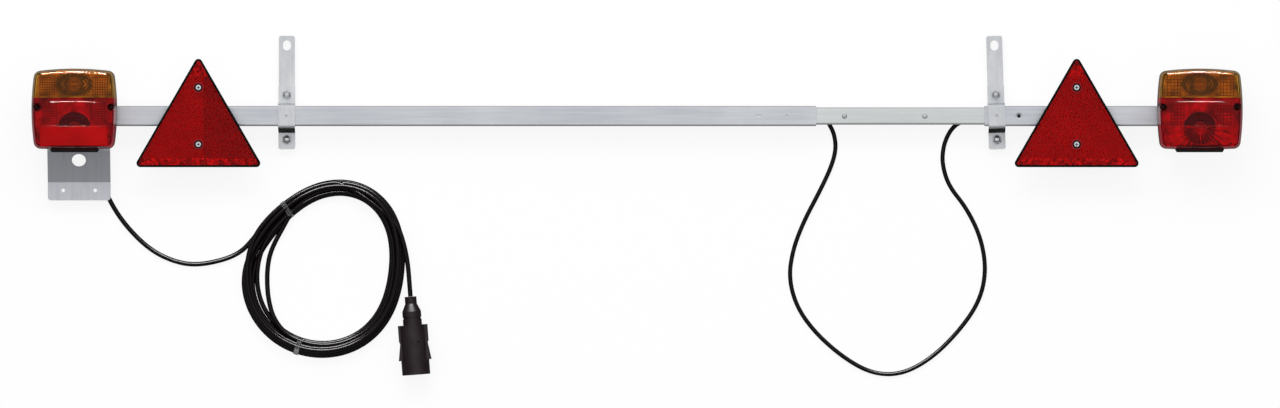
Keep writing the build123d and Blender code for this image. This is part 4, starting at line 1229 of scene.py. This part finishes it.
@dataclass
class SlidingBar:
    """Main tube, arm tube, the channel that slides between them and their rivets."""

    rivet_places: tuple[float, ...] = (257.5, 358.0)
    rivet_seat: float = 32.2
    rivet_outline: Outline = (
        (0.0, -3.5), (2.3, -3.5), (2.3, -1.5), (1.6, -1.5), (1.6, 0.0), (3.2, 0.0), (3.25, 0.25),
        (3.1, 0.6), (2.7, 1.05), (2.1, 1.4), (1.5, 1.58), (1.05, 1.6), (0.95, 1.35), (0.6, 1.15),
        (0.0, 1.1),
    )

    def build(self) -> None:
        """Dress the tubes and set the rivets."""
        dress("main_tube", TUBE_ZINC)
        dress("arm_tube", TUBE_ZINC)
        dress("slide_channel", CHANNEL_ZINC)
        dress("arm_rivets", FASTENER)
        sketch = Sketch()
        for x in self.rivet_places:
            sketch.turn(self.rivet_outline, at(x, 0.0, self.rivet_seat))
        rivets = sketch.finish("stop_rivet_heads", FASTENER, Body.ARM, "bright_steel")
        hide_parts("stop_rivets")


@dataclass
class Clamp:
    """Hanger strip, folded saddle with a black strip on its lower leg as painted shade, bolts and nuts of
    one clamp.
    """

    side: Side
    middle_x: float
    lean: float = 0.0
    strip_width: float = 20.6
    strip_top: Pair = (-15.35, 32.4)
    strip_foot: Pair = (-20.55, 11.15)
    strip_lift: Pair = (0.05, 0.75)
    strip_swell: float = 0.35
    strip_power: int = 6
    strip_cells: Cells = (24, 16)
    bolt_y: Pair = (26.5, -29.3)
    crown_seat: float = 14.9
    crown: Outline = (
        (0.0, -0.5), (4.3, -0.5), (4.45, 0.1), (4.3, 0.7), (3.8, 1.5), (3.0, 2.15), (2.0, 2.6),
        (1.0, 2.8), (0.0, 2.85),
    )

    def build(self) -> None:
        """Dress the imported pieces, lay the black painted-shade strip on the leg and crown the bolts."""
        for part in ("hanger_strip", "saddle"):
            dress(f"{self.side.prefix}_{part}", SHEET_ZINC)
        for part in ("clamp_bolts", "clamp_nuts"):
            dress(f"{self.side.prefix}_{part}", FASTENER)
        self.add_shade_strip()
        self.add_crowns()

    def spot(self, x: float, y: float, z: float) -> Vector:
        """Return a place given from the clamp's own middle line, which may lean."""
        place = Matrix.Rotation(math.radians(self.lean), 3, "Z") @ Vector((x, y, z))
        return at(self.middle_x + place.x, place.y, place.z)

    def add_crowns(self) -> None:
        """Set the rounded crown on each hex head."""
        sketch = Sketch()
        for y in self.bolt_y:
            sketch.turn(self.crown, self.spot(0.0, y, self.crown_seat))
        sketch.finish(f"{self.side.prefix}_bolt_crowns", FASTENER, self.side.body, "bright_steel")

    def add_shade_strip(self) -> None:
        """Lay a slightly domed black strip on the outside of the saddle's lower leg, as painted shade of
        the leg.
        """
        top = Vector((0.0, *self.strip_top))
        down = Vector((0.0, *self.strip_foot)) - top
        out = Vector((0.0, down.z, -down.y)).normalized()

        def sheet(across: float, along: float, lift: float) -> Vector:
            """Return a place at shares across and along the leg, lifted off the steel."""
            place = top + down * along + out * lift
            return self.spot((across - 0.5) * self.strip_width, place.y, place.z)

        def outside(across: float, along: float) -> Vector:
            """Return a place on the domed outside."""
            dome = (1 - (2 * across - 1) ** self.strip_power) * math.sqrt(math.sin(math.pi * along))
            return sheet(across, along, self.strip_lift[1] - self.strip_swell * (1 - dome))

        def inside(across: float, along: float) -> Vector:
            """Return a place on the flat inside."""
            return sheet(across, along, self.strip_lift[0])

        sketch = Sketch()
        sketch.plate(self.strip_cells, outside, inside)
        name = f"{self.side.prefix}_saddle_strip"
        # The strip takes the black rubber finish, but it is painted shade of the lower leg.
        sketch.finish(name, RUBBER, self.side.body, "rubber_black", SOFT_CREASE)


@dataclass
class OpticPlate:
    """One field of prisms moulded behind the front of a lens, in millimetres about the lamp's middle."""

    name: str
    colour: LensColour
    pattern: Pattern
    across: Pair
    along: Pair
    pitch: float
    relief: float
    finish: Finish
    bulb: Pair = (0.0, 0.0)
    front_line: Outline = ((-50.5, 40.3), (-21.5, 43.8), (9.4, 43.8), (14.0, 40.8), (50.5, 37.8))
    skin: float = 0.6
    gap: float = 0.25
    cell: float = 0.7
    squareness: float = 0.6
    crease: float = 40.0
    rib_width: float = 0.7
    rib_drop: Pair = (0.05, 0.6)
    rib_cells: Cells = (1, 6)

    def front(self, y: float) -> float:
        """Feel for the inner face of the lens.

        Args:
            y: Place along the lamp.

        Returns:
            Height of the face above the lamp's seat.
        """
        for (start, low), (end, high) in zip(self.front_line, self.front_line[1:]):
            if y <= end:
                return between((low, high), (y - start) / (end - start))
        return self.front_line[-1][1]

    def spot(self, place: Vector, x: float, y: float, drop: float) -> Vector:
        """Return a place in the frame at a depth under the inner face of one lamp's lens."""
        return at(place.x + x, place.y + y, place.z + self.front(y) - drop)

    def wave(self, distance: float) -> float:
        """Return the share of full relief at a distance across the prisms."""
        return abs(math.sin(math.pi * distance / self.pitch))

    def depth(self, x: float, y: float) -> float:
        """Tell how far the prisms stand in from the skin.

        Args:
            x: Place across the lamp.
            y: Place along the lamp.

        Returns:
            Depth of the prisms there.
        """
        beside = x - self.bulb[0]
        above = y - self.bulb[1]
        if self.pattern is Pattern.PILLOWS:
            return self.relief * self.wave(x) * self.wave(y)
        if self.pattern is Pattern.FLUTES:
            return self.relief * self.wave(x)
        if self.pattern is Pattern.DIAMONDS:
            square = abs(beside) + abs(above)
            ring = between((math.hypot(beside, above), square), self.squareness)
            return self.relief * self.wave(ring)
        return self.relief * self.wave(math.degrees(math.atan2(beside, -above)))

    def build(self, side: Side, place: Vector) -> None:
        """Build the plate of one lamp.

        Args:
            side: End of the bar.
            place: Middle of the lamp on its seat, in bar millimetres.
        """
        def top(share_across: float, share_along: float) -> Vector:
            """Return a place on the smooth face, next to the lens."""
            x, y = between(self.across, share_across), between(self.along, share_along)
            return self.spot(place, x, y, self.gap)

        def under(share_across: float, share_along: float) -> Vector:
            """Return a place on the prisms."""
            x, y = between(self.across, share_across), between(self.along, share_along)
            return self.spot(place, x, y, self.gap + self.skin + self.depth(x, y))

        sketch = Sketch()
        columns, rows = (round((high - low) / self.cell) for low, high in (self.across, self.along))
        sketch.plate((columns, rows), top, under)
        slot = f"{self.colour.value}_lens"
        sketch.finish(f"{side.prefix}_{self.name}", self.finish, side.body, slot, self.crease)
        if self.pattern is Pattern.PILLOWS:
            self.add_grid(side, place)

    def rib_lines(self, ends: Pair) -> list[float]:
        """Return where ribs run between two ends, one at every pitch."""
        lines = range(math.ceil(ends[0] / self.pitch), math.floor(ends[1] / self.pitch) + 1)
        return [line * self.pitch for line in lines]

    def add_grid(self, side: Side, place: Vector) -> None:
        """Run thin dark ribs between the pillows, which paint the shade lines between the prisms.

        Args:
            side: End of the bar.
            place: Middle of the lamp on its seat, in bar millimetres.
        """
        sketch = Sketch()
        half = self.rib_width / 2
        for x in self.rib_lines(self.across):
            self.add_rib(sketch, place, (x - half, x + half), self.along)
        for y in self.rib_lines(self.along):
            self.add_rib(sketch, place, self.across, (y - half, y + half))
        finish = AMBER_SHADE_RIBS if self.colour is LensColour.AMBER else RED_SHADE_RIBS
        sketch.finish(f"{side.prefix}_{self.name}_ribs", finish, side.body, f"{self.colour.value}_lens")

    def add_rib(self, sketch: Sketch, place: Vector, across: Pair, along: Pair) -> None:
        """Add one rib that hangs under the pillows.

        Args:
            sketch: Sketch that it goes into.
            place: Middle of the lamp on its seat, in bar millimetres.
            across: Its ends across the lamp.
            along: Its ends along the lamp.
        """
        def sheet(drop: float, share_across: float, share_along: float) -> Vector:
            """Return a place at a depth under the pillows."""
            x, y = between(across, share_across), between(along, share_along)
            return self.spot(place, x, y, self.gap + self.skin + self.relief + drop)

        upper, lower = (partial(sheet, drop) for drop in self.rib_drop)
        sketch.plate(self.rib_cells, upper, lower)


@dataclass(frozen=True)
class Bead:
    """A low rounded bead across the front of a lens, in millimetres about the lamp's middle."""

    y: float
    reach: float
    bow: float
    width: float
    rise: float
    level: float | None = None
    sink: float = 0.2
    end_power: int = 8
    cells: Cells = (48, 10)

    def spot(self, place: Vector, lens: str, raised: bool, across: float, along: float) -> Vector:
        """Find a place on the bead.

        Args:
            place: Middle of the lamp on its seat, in bar millimetres.
            lens: Node that the bead lies on, felt for where the bead has no level of its own.
            raised: Whether the place is on the crown, and not on the sunk foot.
            across: Share of the way from end to end.
            along: Share of the way over the bead.

        Returns:
            The place in the frame.
        """
        side = 2 * across - 1
        over = 2 * along - 1
        x = place.x + side * self.reach
        y = place.y + self.y - self.bow * side * side + over * self.width / 2
        level = top_of(lens, x, y) if self.level is None else place.z + self.level
        crown = self.rise * (1 - over * over) * (1 - side ** self.end_power)
        return at(x, y, level + crown if raised else level - self.sink)

    def lay(self, sketch: Sketch, place: Vector, lens: str) -> None:
        """Add the bead to a sketch: its crown above, its foot just inside the lens."""
        crown, foot = (partial(self.spot, place, lens, raised) for raised in (True, False))
        sketch.plate(self.cells, crown, foot)


@dataclass
class RearLamp:
    """One rear lamp: base, tray, bulbs, two-colour lens with its prisms, and screws."""

    side: Side
    middle_x: float
    seat: float
    pillow: float = 3.0
    middle_y: float = 8.6
    bulb_y: Pair = (31.0, -24.0)
    bulb_steps: int = 32
    bulb_glass: Outline = (
        (5.5, 18.5), (7.4, 19.2), (8.6, 21.5), (9.0, 25.0), (8.6, 29.5), (7.2, 33.2), (5.0, 35.6),
        (2.6, 36.6), (0.0, 36.8),
    )
    bulb_cap: Outline = (
        (0.0, 4.8), (7.2, 4.8), (7.5, 5.2), (7.5, 15.2), (7.0, 16.0), (7.0, 17.0), (7.5, 17.6),
        (7.4, 18.8), (0.0, 18.8),
    )
    wire_arch: Outline = (
        (-3.0, 18.0), (-3.4, 22.0), (-3.2, 26.5), (-1.6, 28.2), (0.0, 27.4), (1.6, 28.2), (3.2, 26.5),
        (3.4, 22.0), (3.0, 18.0),
    )
    wire_radius: float = 0.45
    wire_sides: int = 8
    # Bowl liners, dishes and fins are black pieces that paint the shade inside the bowls.
    bowl_radius: Pair = (15.0, 21.0)
    bowl_foot: float = 11.3
    bowl_steps: int = 48
    liner_gap: float = 1.55
    liner_heights: Point = (3.2, 8.0, 12.05)
    liner_waist: float = 0.55
    liner_sheet: Pair = (0.4, 0.3)
    dish_radius: Pair = (14.6, 20.6)
    dish_stretch: Pair = (1.62, 1.0)
    dish_gap: float = 1.5
    dish_floor: float = 12.1
    dish_rings: int = 4
    dish_ring: Outline = ((0.1, 12.6), (0.5, 13.0), (0.9, 12.6))
    dish_steps: int = 64
    # Angles of black fins that paint shadow rays round the bulbs.
    amber_fins: tuple[float, ...] = (
        3.0, 22.0, 47.0, 68.0, 96.0, 124.0, 151.0, 170.0, 196.0, 222.0, 247.0, 281.0, 308.0, 336.0,
    )
    amber_fin_reach: Pair = (9.5, 15.0)
    red_fins: tuple[float, ...] = (200.0, 221.0, 238.0, 262.0, 287.0, 310.0, 331.0)
    red_fin_reach: Pair = (19.0, 27.0)
    fin_height: float = 14.2
    fin_thickness: float = 1.5
    fin_sides: int = 8
    red_beads: tuple[Bead, ...] = (
        Bead(y=9.0, reach=36.0, bow=1.2, width=2.0, rise=0.55, level=45.5),
        Bead(y=-21.5, reach=46.0, bow=0.2, width=2.0, rise=0.55, level=45.5),
    )
    rim_bead: Bead = Bead(y=45.9, reach=41.0, bow=2.4, width=3.0, rise=0.5)

    def plates(self) -> list[OpticPlate]:
        """List the prism fields of this lamp.

        Returns:
            Fields of the amber lens, then of the red one.
        """
        amber, red = LensColour.AMBER, LensColour.RED
        fields = [
            OpticPlate("amber_pillows_a", amber, Pattern.PILLOWS, across=(-43.0, -24.0),
                       along=(15.5, 42.5), pitch=self.pillow, relief=0.35, finish=AMBER_PRISMS),
            OpticPlate("amber_pillows_b", amber, Pattern.PILLOWS, across=(24.0, 43.0),
                       along=(15.5, 42.5), pitch=self.pillow, relief=0.35, finish=AMBER_PRISMS),
            OpticPlate("amber_rings", amber, Pattern.DIAMONDS, across=(-23.8, 23.8),
                       along=(15.5, 43.5), pitch=3.0, relief=0.4, finish=AMBER_PRISMS, bulb=(-4.0, 31.0)),
            OpticPlate("red_pillows_a", red, Pattern.PILLOWS, across=(-39.0, -20.0),
                       along=(-20.5, 9.0), pitch=self.pillow, relief=0.4, finish=RED_PRISMS),
            OpticPlate("red_pillows_b", red, Pattern.PILLOWS, across=(20.0, 39.0),
                       along=(-20.5, 9.0), pitch=self.pillow, relief=0.4, finish=RED_PRISMS),
        ]
        if self.side is Side.LEFT:
            fields.append(OpticPlate("red_flutes", red, Pattern.FLUTES, across=(-42.0, 42.0),
                                     along=(-45.5, -22.6), pitch=3.4, relief=0.9, finish=RED_DIFFUSER))
        else:
            fields.append(OpticPlate("red_rays", red, Pattern.RAYS, across=(-42.0, 42.0),
                                     along=(-45.5, -22.6), pitch=12.0, relief=1.3, finish=RED_PRISMS,
                                     bulb=(0.0, -20.0)))
        return fields

    def build(self) -> None:
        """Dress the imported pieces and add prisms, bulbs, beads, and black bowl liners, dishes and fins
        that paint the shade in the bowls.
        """
        name = self.side.prefix
        place = Vector((self.middle_x, self.middle_y, self.seat))
        dress(f"{name}_amber_lens", AMBER_PLASTIC)
        dress(f"{name}_red_lens", RED_PLASTIC)
        dress(f"{name}_lens_screws", SCREW_BLACK)
        dress(f"{name}_lamp_base", LAMP_BLACK)
        dress(f"{name}_lamp_gasket", RUBBER)
        dress(f"{name}_reflector_tray", TRAY)
        dress(f"{name}_bulb_sockets", LAMP_BLACK)
        dress(f"{name}_lamp_bolts", FASTENER)
        dress(f"{name}_lamp_nuts", FASTENER)
        if self.side is Side.LEFT:
            dress("left_plate_light_window", CLEAR_PLASTIC)
            dress("cable_gland", RUBBER)
        for plate in self.plates():
            plate.build(self.side, place)
        self.add_bulbs(place)
        self.add_bowls(place)
        self.add_shadow_fins(place)
        self.add_beads(place)

    def add_bulbs(self, place: Vector) -> None:
        """Set a cap, a glass and a wire in each socket.

        Args:
            place: Middle of the lamp on its seat, in bar millimetres.
        """
        name = self.side.prefix
        caps = Sketch()
        glasses = Sketch()
        wires = Sketch()
        for y in self.bulb_y:
            foot = at(place.x, place.y + y, place.z)
            caps.turn(self.bulb_cap, foot, self.bulb_steps)
            glasses.turn(self.bulb_glass, foot, self.bulb_steps)
            arch = [foot + Vector((x, 0.0, z)) * MM for x, z in self.wire_arch]
            wires.pull(arch, self.wire_radius * MM, self.wire_sides)
        shell = glasses.finish(f"{name}_bulb_glass", BULB_GLASS, self.side.body, "bulb", SOFT_CREASE)
        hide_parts(f"{name}_bulbs")
        caps.finish(f"{name}_bulb_caps", CAP_BRASS, self.side.body, "brass")
        wires.finish(f"{name}_bulb_wires", WIRE, self.side.body, "bright_steel")

    def liner_outline(self, radius: float) -> list[Pair]:
        """Draw the side view of the black lining of a bowl, which paints its shade.

        Args:
            radius: Radius of the bowl at its brim.

        Returns:
            Radius and height from the foot up to the brim and back down inside.
        """
        top = radius - self.liner_gap
        foot = self.bowl_foot - self.liner_gap
        waist = between((foot, top), self.liner_waist)
        floor, middle, brim = self.liner_heights
        upper, lower = self.liner_sheet
        return [(foot, floor), (waist, middle), (top, brim), (top - upper, brim),
                (waist - upper, middle), (foot - lower, floor), (foot, floor)]

    def dish_outline(self, radius: float) -> list[Pair]:
        """Draw the side view of a black dish on the tray, with raised rings, which paints shade round the
        bulb.

        Args:
            radius: Radius of the dish.

        Returns:
            Radius and height from the inner edge out over the rings and back.
        """
        inner = self.bowl_foot - self.dish_gap
        pitch = (radius - inner) / self.dish_rings
        outline = [(inner, self.dish_floor)]
        for ring in range(self.dish_rings):
            outline += [(inner + (ring + share) * pitch, height) for share, height in self.dish_ring]
        return outline + [(radius, self.dish_floor), (inner, self.dish_floor)]

    def add_bowls(self, place: Vector) -> None:
        """Line the two bowls of the tray in black and lay a ringed black dish round each, as painted shade
        in the bowls.

        Args:
            place: Middle of the lamp on its seat, in bar millimetres.
        """
        sketch = Sketch()
        feet = [at(place.x, place.y + y, place.z) for y in self.bulb_y]
        for foot, radius in zip(feet, self.bowl_radius):
            sketch.turn(self.liner_outline(radius), foot, self.bowl_steps)
        for foot, radius, stretch in zip(feet, self.dish_radius, self.dish_stretch):
            spread = Matrix.Diagonal((stretch, 1.0, 1.0))
            sketch.turn(self.dish_outline(radius), foot, self.dish_steps, spread)
        sketch.finish(f"{self.side.prefix}_bowl_liners", PAINTED_SHADE_BLACK, self.side.body, "lamp_black")

    def add_shadow_fins(self, place: Vector) -> None:
        """Run thin black fins out from the amber bulb, and from the red one where no diffuser hides it, as
        painted shadow rays round the bulbs.

        Args:
            place: Middle of the lamp on its seat, in bar millimetres.
        """
        sketch = Sketch()
        amber_stretch, red_stretch = self.dish_stretch
        fans = [(self.bulb_y[0], amber_stretch, self.amber_fins, self.amber_fin_reach)]
        if self.side is Side.RIGHT:
            fans.append((self.bulb_y[1], red_stretch, self.red_fins, self.red_fin_reach))
        for y, stretch, angles, reaches in fans:
            for angle in angles:
                spin = math.radians(angle)
                out = Vector((stretch * math.cos(spin), math.sin(spin), 0.0))
                ends = [Vector((0.0, y, self.fin_height)) + out * reach for reach in reaches]
                path = [at(place.x + end.x, place.y + end.y, place.z + end.z) for end in ends]
                sketch.pull(path, self.fin_thickness * MM / 2, self.fin_sides)
        sketch.finish(f"{self.side.prefix}_tray_shadow_fins", PAINTED_SHADE_BLACK, self.side.body, "lamp_black")

    def add_beads(self, place: Vector) -> None:
        """Run two low beads across the red front and one along the upper edge of the amber front.

        Args:
            place: Middle of the lamp on its seat, in bar millimetres.
        """
        name = self.side.prefix
        sketch = Sketch()
        for bead in self.red_beads:
            bead.lay(sketch, place, f"{name}_red_lens")
        sketch.finish(f"{name}_lens_beads", RED_BEADS, self.side.body, "red_lens", SOFT_CREASE)
        sketch = Sketch()
        self.rim_bead.lay(sketch, place, f"{name}_amber_lens")
        sketch.finish(f"{name}_rim_bead", AMBER_BEADS, self.side.body, "amber_lens", SOFT_CREASE)


class CellShade(Enum):
    """Shades of a reflector's cells, each with its finish: plain, a painted glint and a painted shade."""

    BRIGHT = BRIGHT_CELLS
    EDGE = GLINT_PAINTED_CELLS
    DEEP = SHADE_PAINTED_CELLS


@dataclass
class WarningTriangle:
    """Triangular reflector with corner-prism cells under its face, on its carrier strip."""

    side: Side
    middle_x: float
    side_length: float = 162.0
    inset: float = 2.8
    bottom: float = -64.0
    rows: int = 64
    cell_top: float = 43.4
    cell_share: float = 0.5
    cell_crease: float = 5.0
    painted_shade_edge: float = 6.0
    edge_rows: int = 4
    tip_rows: int = 11
    corner_room: float = 2.6
    screw_y: Pair = (-35.5, 35.5)
    screw_room: float = 6.3
    screw_seat: float = 41.5
    head: Outline = (
        (0.0, -10.0), (2.5, -10.0), (2.5, 0.0), (3.9, 0.0), (4.0, 0.25), (3.95, 1.3), (3.75, 1.85),
        (3.3, 2.2), (2.5, 2.35), (0.0, 2.42),
    )
    cross_arm: float = 2.1
    cross_width: float = 0.5
    cross_floor: float = 0.3
    cross_top: float = 4.0
    # A black cross just inside each cross recess: painted shade in the recess.
    recess_shade_scale: float = 0.97
    recess_shade_heights: Pair = (0.2, 0.8)
    lip: Outline = (
        (5.3, 43.6), (5.3, 44.55), (5.5, 44.8), (6.4, 44.8), (6.7, 44.55), (6.7, 43.6), (5.3, 43.6),
    )
    lip_steps: int = 48

    def build(self) -> None:
        """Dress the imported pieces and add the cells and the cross-recess screws."""
        name = self.side.prefix
        dress(f"{name}_reflector_back", EDGE_BLACK)
        dress(f"{name}_reflector_lens", REFLECTOR_PLASTIC)
        dress(f"{name}_reflector_carrier", SHEET_ZINC)
        dress(f"{name}_reflector_nuts", FASTENER)
        dress(f"{name}_carrier_rivets", FASTENER)
        self.add_cells()
        self.add_screws()

    def shade_of(self, x: float, row: int) -> CellShade:
        """Choose the shade of a cell: rows at the edge and the tip get a painted glint, and one flank gets
        painted shade.

        Args:
            x: Middle of the cell from the middle of the face.
            row: Number of its row from the bottom.

        Returns:
            The shade.
        """
        if row < self.edge_rows or row > self.rows - self.tip_rows:
            return CellShade.EDGE
        return CellShade.BRIGHT if x < self.painted_shade_edge else CellShade.DEEP

    def add_cell(self, sketch: Sketch, corners: Sequence[Pair], deep: float) -> None:
        """Add one corner prism that is open towards the face.

        Args:
            sketch: Sketch that it goes into.
            corners: Its three corners, counter-clockwise from above.
            deep: How far its point lies under the corners.
        """
        first = len(sketch.corners)
        x, y = (sum(places) / 3 for places in zip(*corners))
        sketch.corners += [at(self.middle_x + cx, cy, self.cell_top) for cx, cy in corners]
        sketch.corners.append(at(self.middle_x + x, y, self.cell_top - deep))
        for step in range(3):
            sketch.faces.append((first + step, first + (step + 1) % 3, first + 3))

    def add_cells(self) -> None:
        """Fill the face with three-sided corner prisms, except round the screws and in the corners."""
        full = self.side_length / (2 * math.sqrt(3))
        edge = 2 * math.sqrt(3) * (full - self.inset)
        pitch = edge / self.rows
        rise = pitch * math.sqrt(3) / 2
        deep = self.cell_share * pitch / math.sqrt(6)
        base = self.bottom + self.inset
        sharp = ((-edge / 2, base), (edge / 2, base), (0.0, base + rise * self.rows))
        taken = [(x, y, self.corner_room) for x, y in sharp]
        taken += [(0.0, y, self.screw_room) for y in self.screw_y]
        sketches = {shade: Sketch() for shade in CellShade}
        for row in range(self.rows):
            low = base + rise * row
            for column in range(2 * (self.rows - row) - 1):
                x = -edge / 2 + pitch * (column + row + 1) / 2
                foot, tip, half = low, low + rise, pitch / 2
                if column % 2:
                    foot, tip, half = tip, foot, -half
                middle = (2 * foot + tip) / 3
                if any(math.hypot(x - px, middle - py) < room for px, py, room in taken):
                    continue
                corners = ((x - half, foot), (x + half, foot), (x, tip))
                self.add_cell(sketches[self.shade_of(x, row)], corners, deep)
        for shade, sketch in sketches.items():
            if sketch.faces:
                name = f"{self.side.prefix}_{shade.name.lower()}_cells"
                sketch.finish(name, shade.value, self.side.body, "reflector_red", self.cell_crease)

    def cross(self, scale: float) -> list[Pair]:
        """Draw the outline of a cross recess.

        Args:
            scale: How much larger or smaller than the recess it is.

        Returns:
            Corners in millimetres, counter-clockwise.
        """
        arm = scale * self.cross_arm
        half = scale * self.cross_width
        quarter = [(half, half), (half, arm), (-half, arm)]
        turned = [(-y, x) for x, y in quarter]
        return quarter + turned + [(-x, -y) for x, y in quarter + turned]

    def add_screws(self) -> None:
        """Set the two silver screws, each with a black cross of painted shade in its cross recess and a
        red lip round it.
        """
        name = self.side.prefix
        feet = [at(self.middle_x, y, self.screw_seat) for y in self.screw_y]
        heads = Sketch()
        recess_shade = Sketch()
        for foot in feet:
            heads.turn(self.head, foot)
            recess_shade.raise_outline(self.cross(self.recess_shade_scale), foot, *self.recess_shade_heights)
        screws = heads.to_object(f"{name}_cross_screws")
        for foot in feet:
            cutter = Sketch()
            cutter.raise_outline(self.cross(1.0), foot, self.cross_floor, self.cross_top)
            carve(screws, cutter.to_object("cross_cutter"))
        recess_shade.finish(f"{name}_screw_recess_shade", PAINTED_SHADE_BLACK, self.side.body, "lamp_black")
        screws.data.materials.append(SILVER_SCREW.material())
        screws.data.set_sharp_from_angle(angle=math.radians(CREASE))
        settle(screws, self.side.body)
        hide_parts(f"{name}_reflector_screws")
        lips = Sketch()
        for y in self.screw_y:
            lips.turn(self.lip, at(self.middle_x, y, 0.0), self.lip_steps)
        lips.finish(f"{name}_screw_lips", BRIGHT_CELLS, self.side.body, "reflector_red")


def main() -> None:
    """Build the studio and every sub-assembly in order."""
    logging.basicConfig(level=logging.INFO, format="%(name)s: %(message)s")
    studio = Studio()
    studio.build()
    SupplyLead().build()
    LinkLead().build()
    SlidingBar().build()
    Clamp(Side.LEFT, middle_x=-440.2).build()
    Clamp(Side.RIGHT, middle_x=447.9, lean=1.6).build()
    dress("plate_bracket", BRACKET_ZINC)
    RearLamp(Side.LEFT, middle_x=-704.7, seat=35.5).build()
    RearLamp(Side.RIGHT, middle_x=701.2, seat=34.0, pillow=4.1).build()
    WarningTriangle(Side.LEFT, middle_x=-550.0).build()
    WarningTriangle(Side.RIGHT, middle_x=547.5, painted_shade_edge=100.0).build()
    beads = [f"{side.prefix}_{part}" for side in Side for part in ("lens_beads", "rim_bead")]
    studio.add_rim(["supply_cord", "link_cord", *PLUG_SKIN, *beads])


if __name__ == "__main__":
    main()
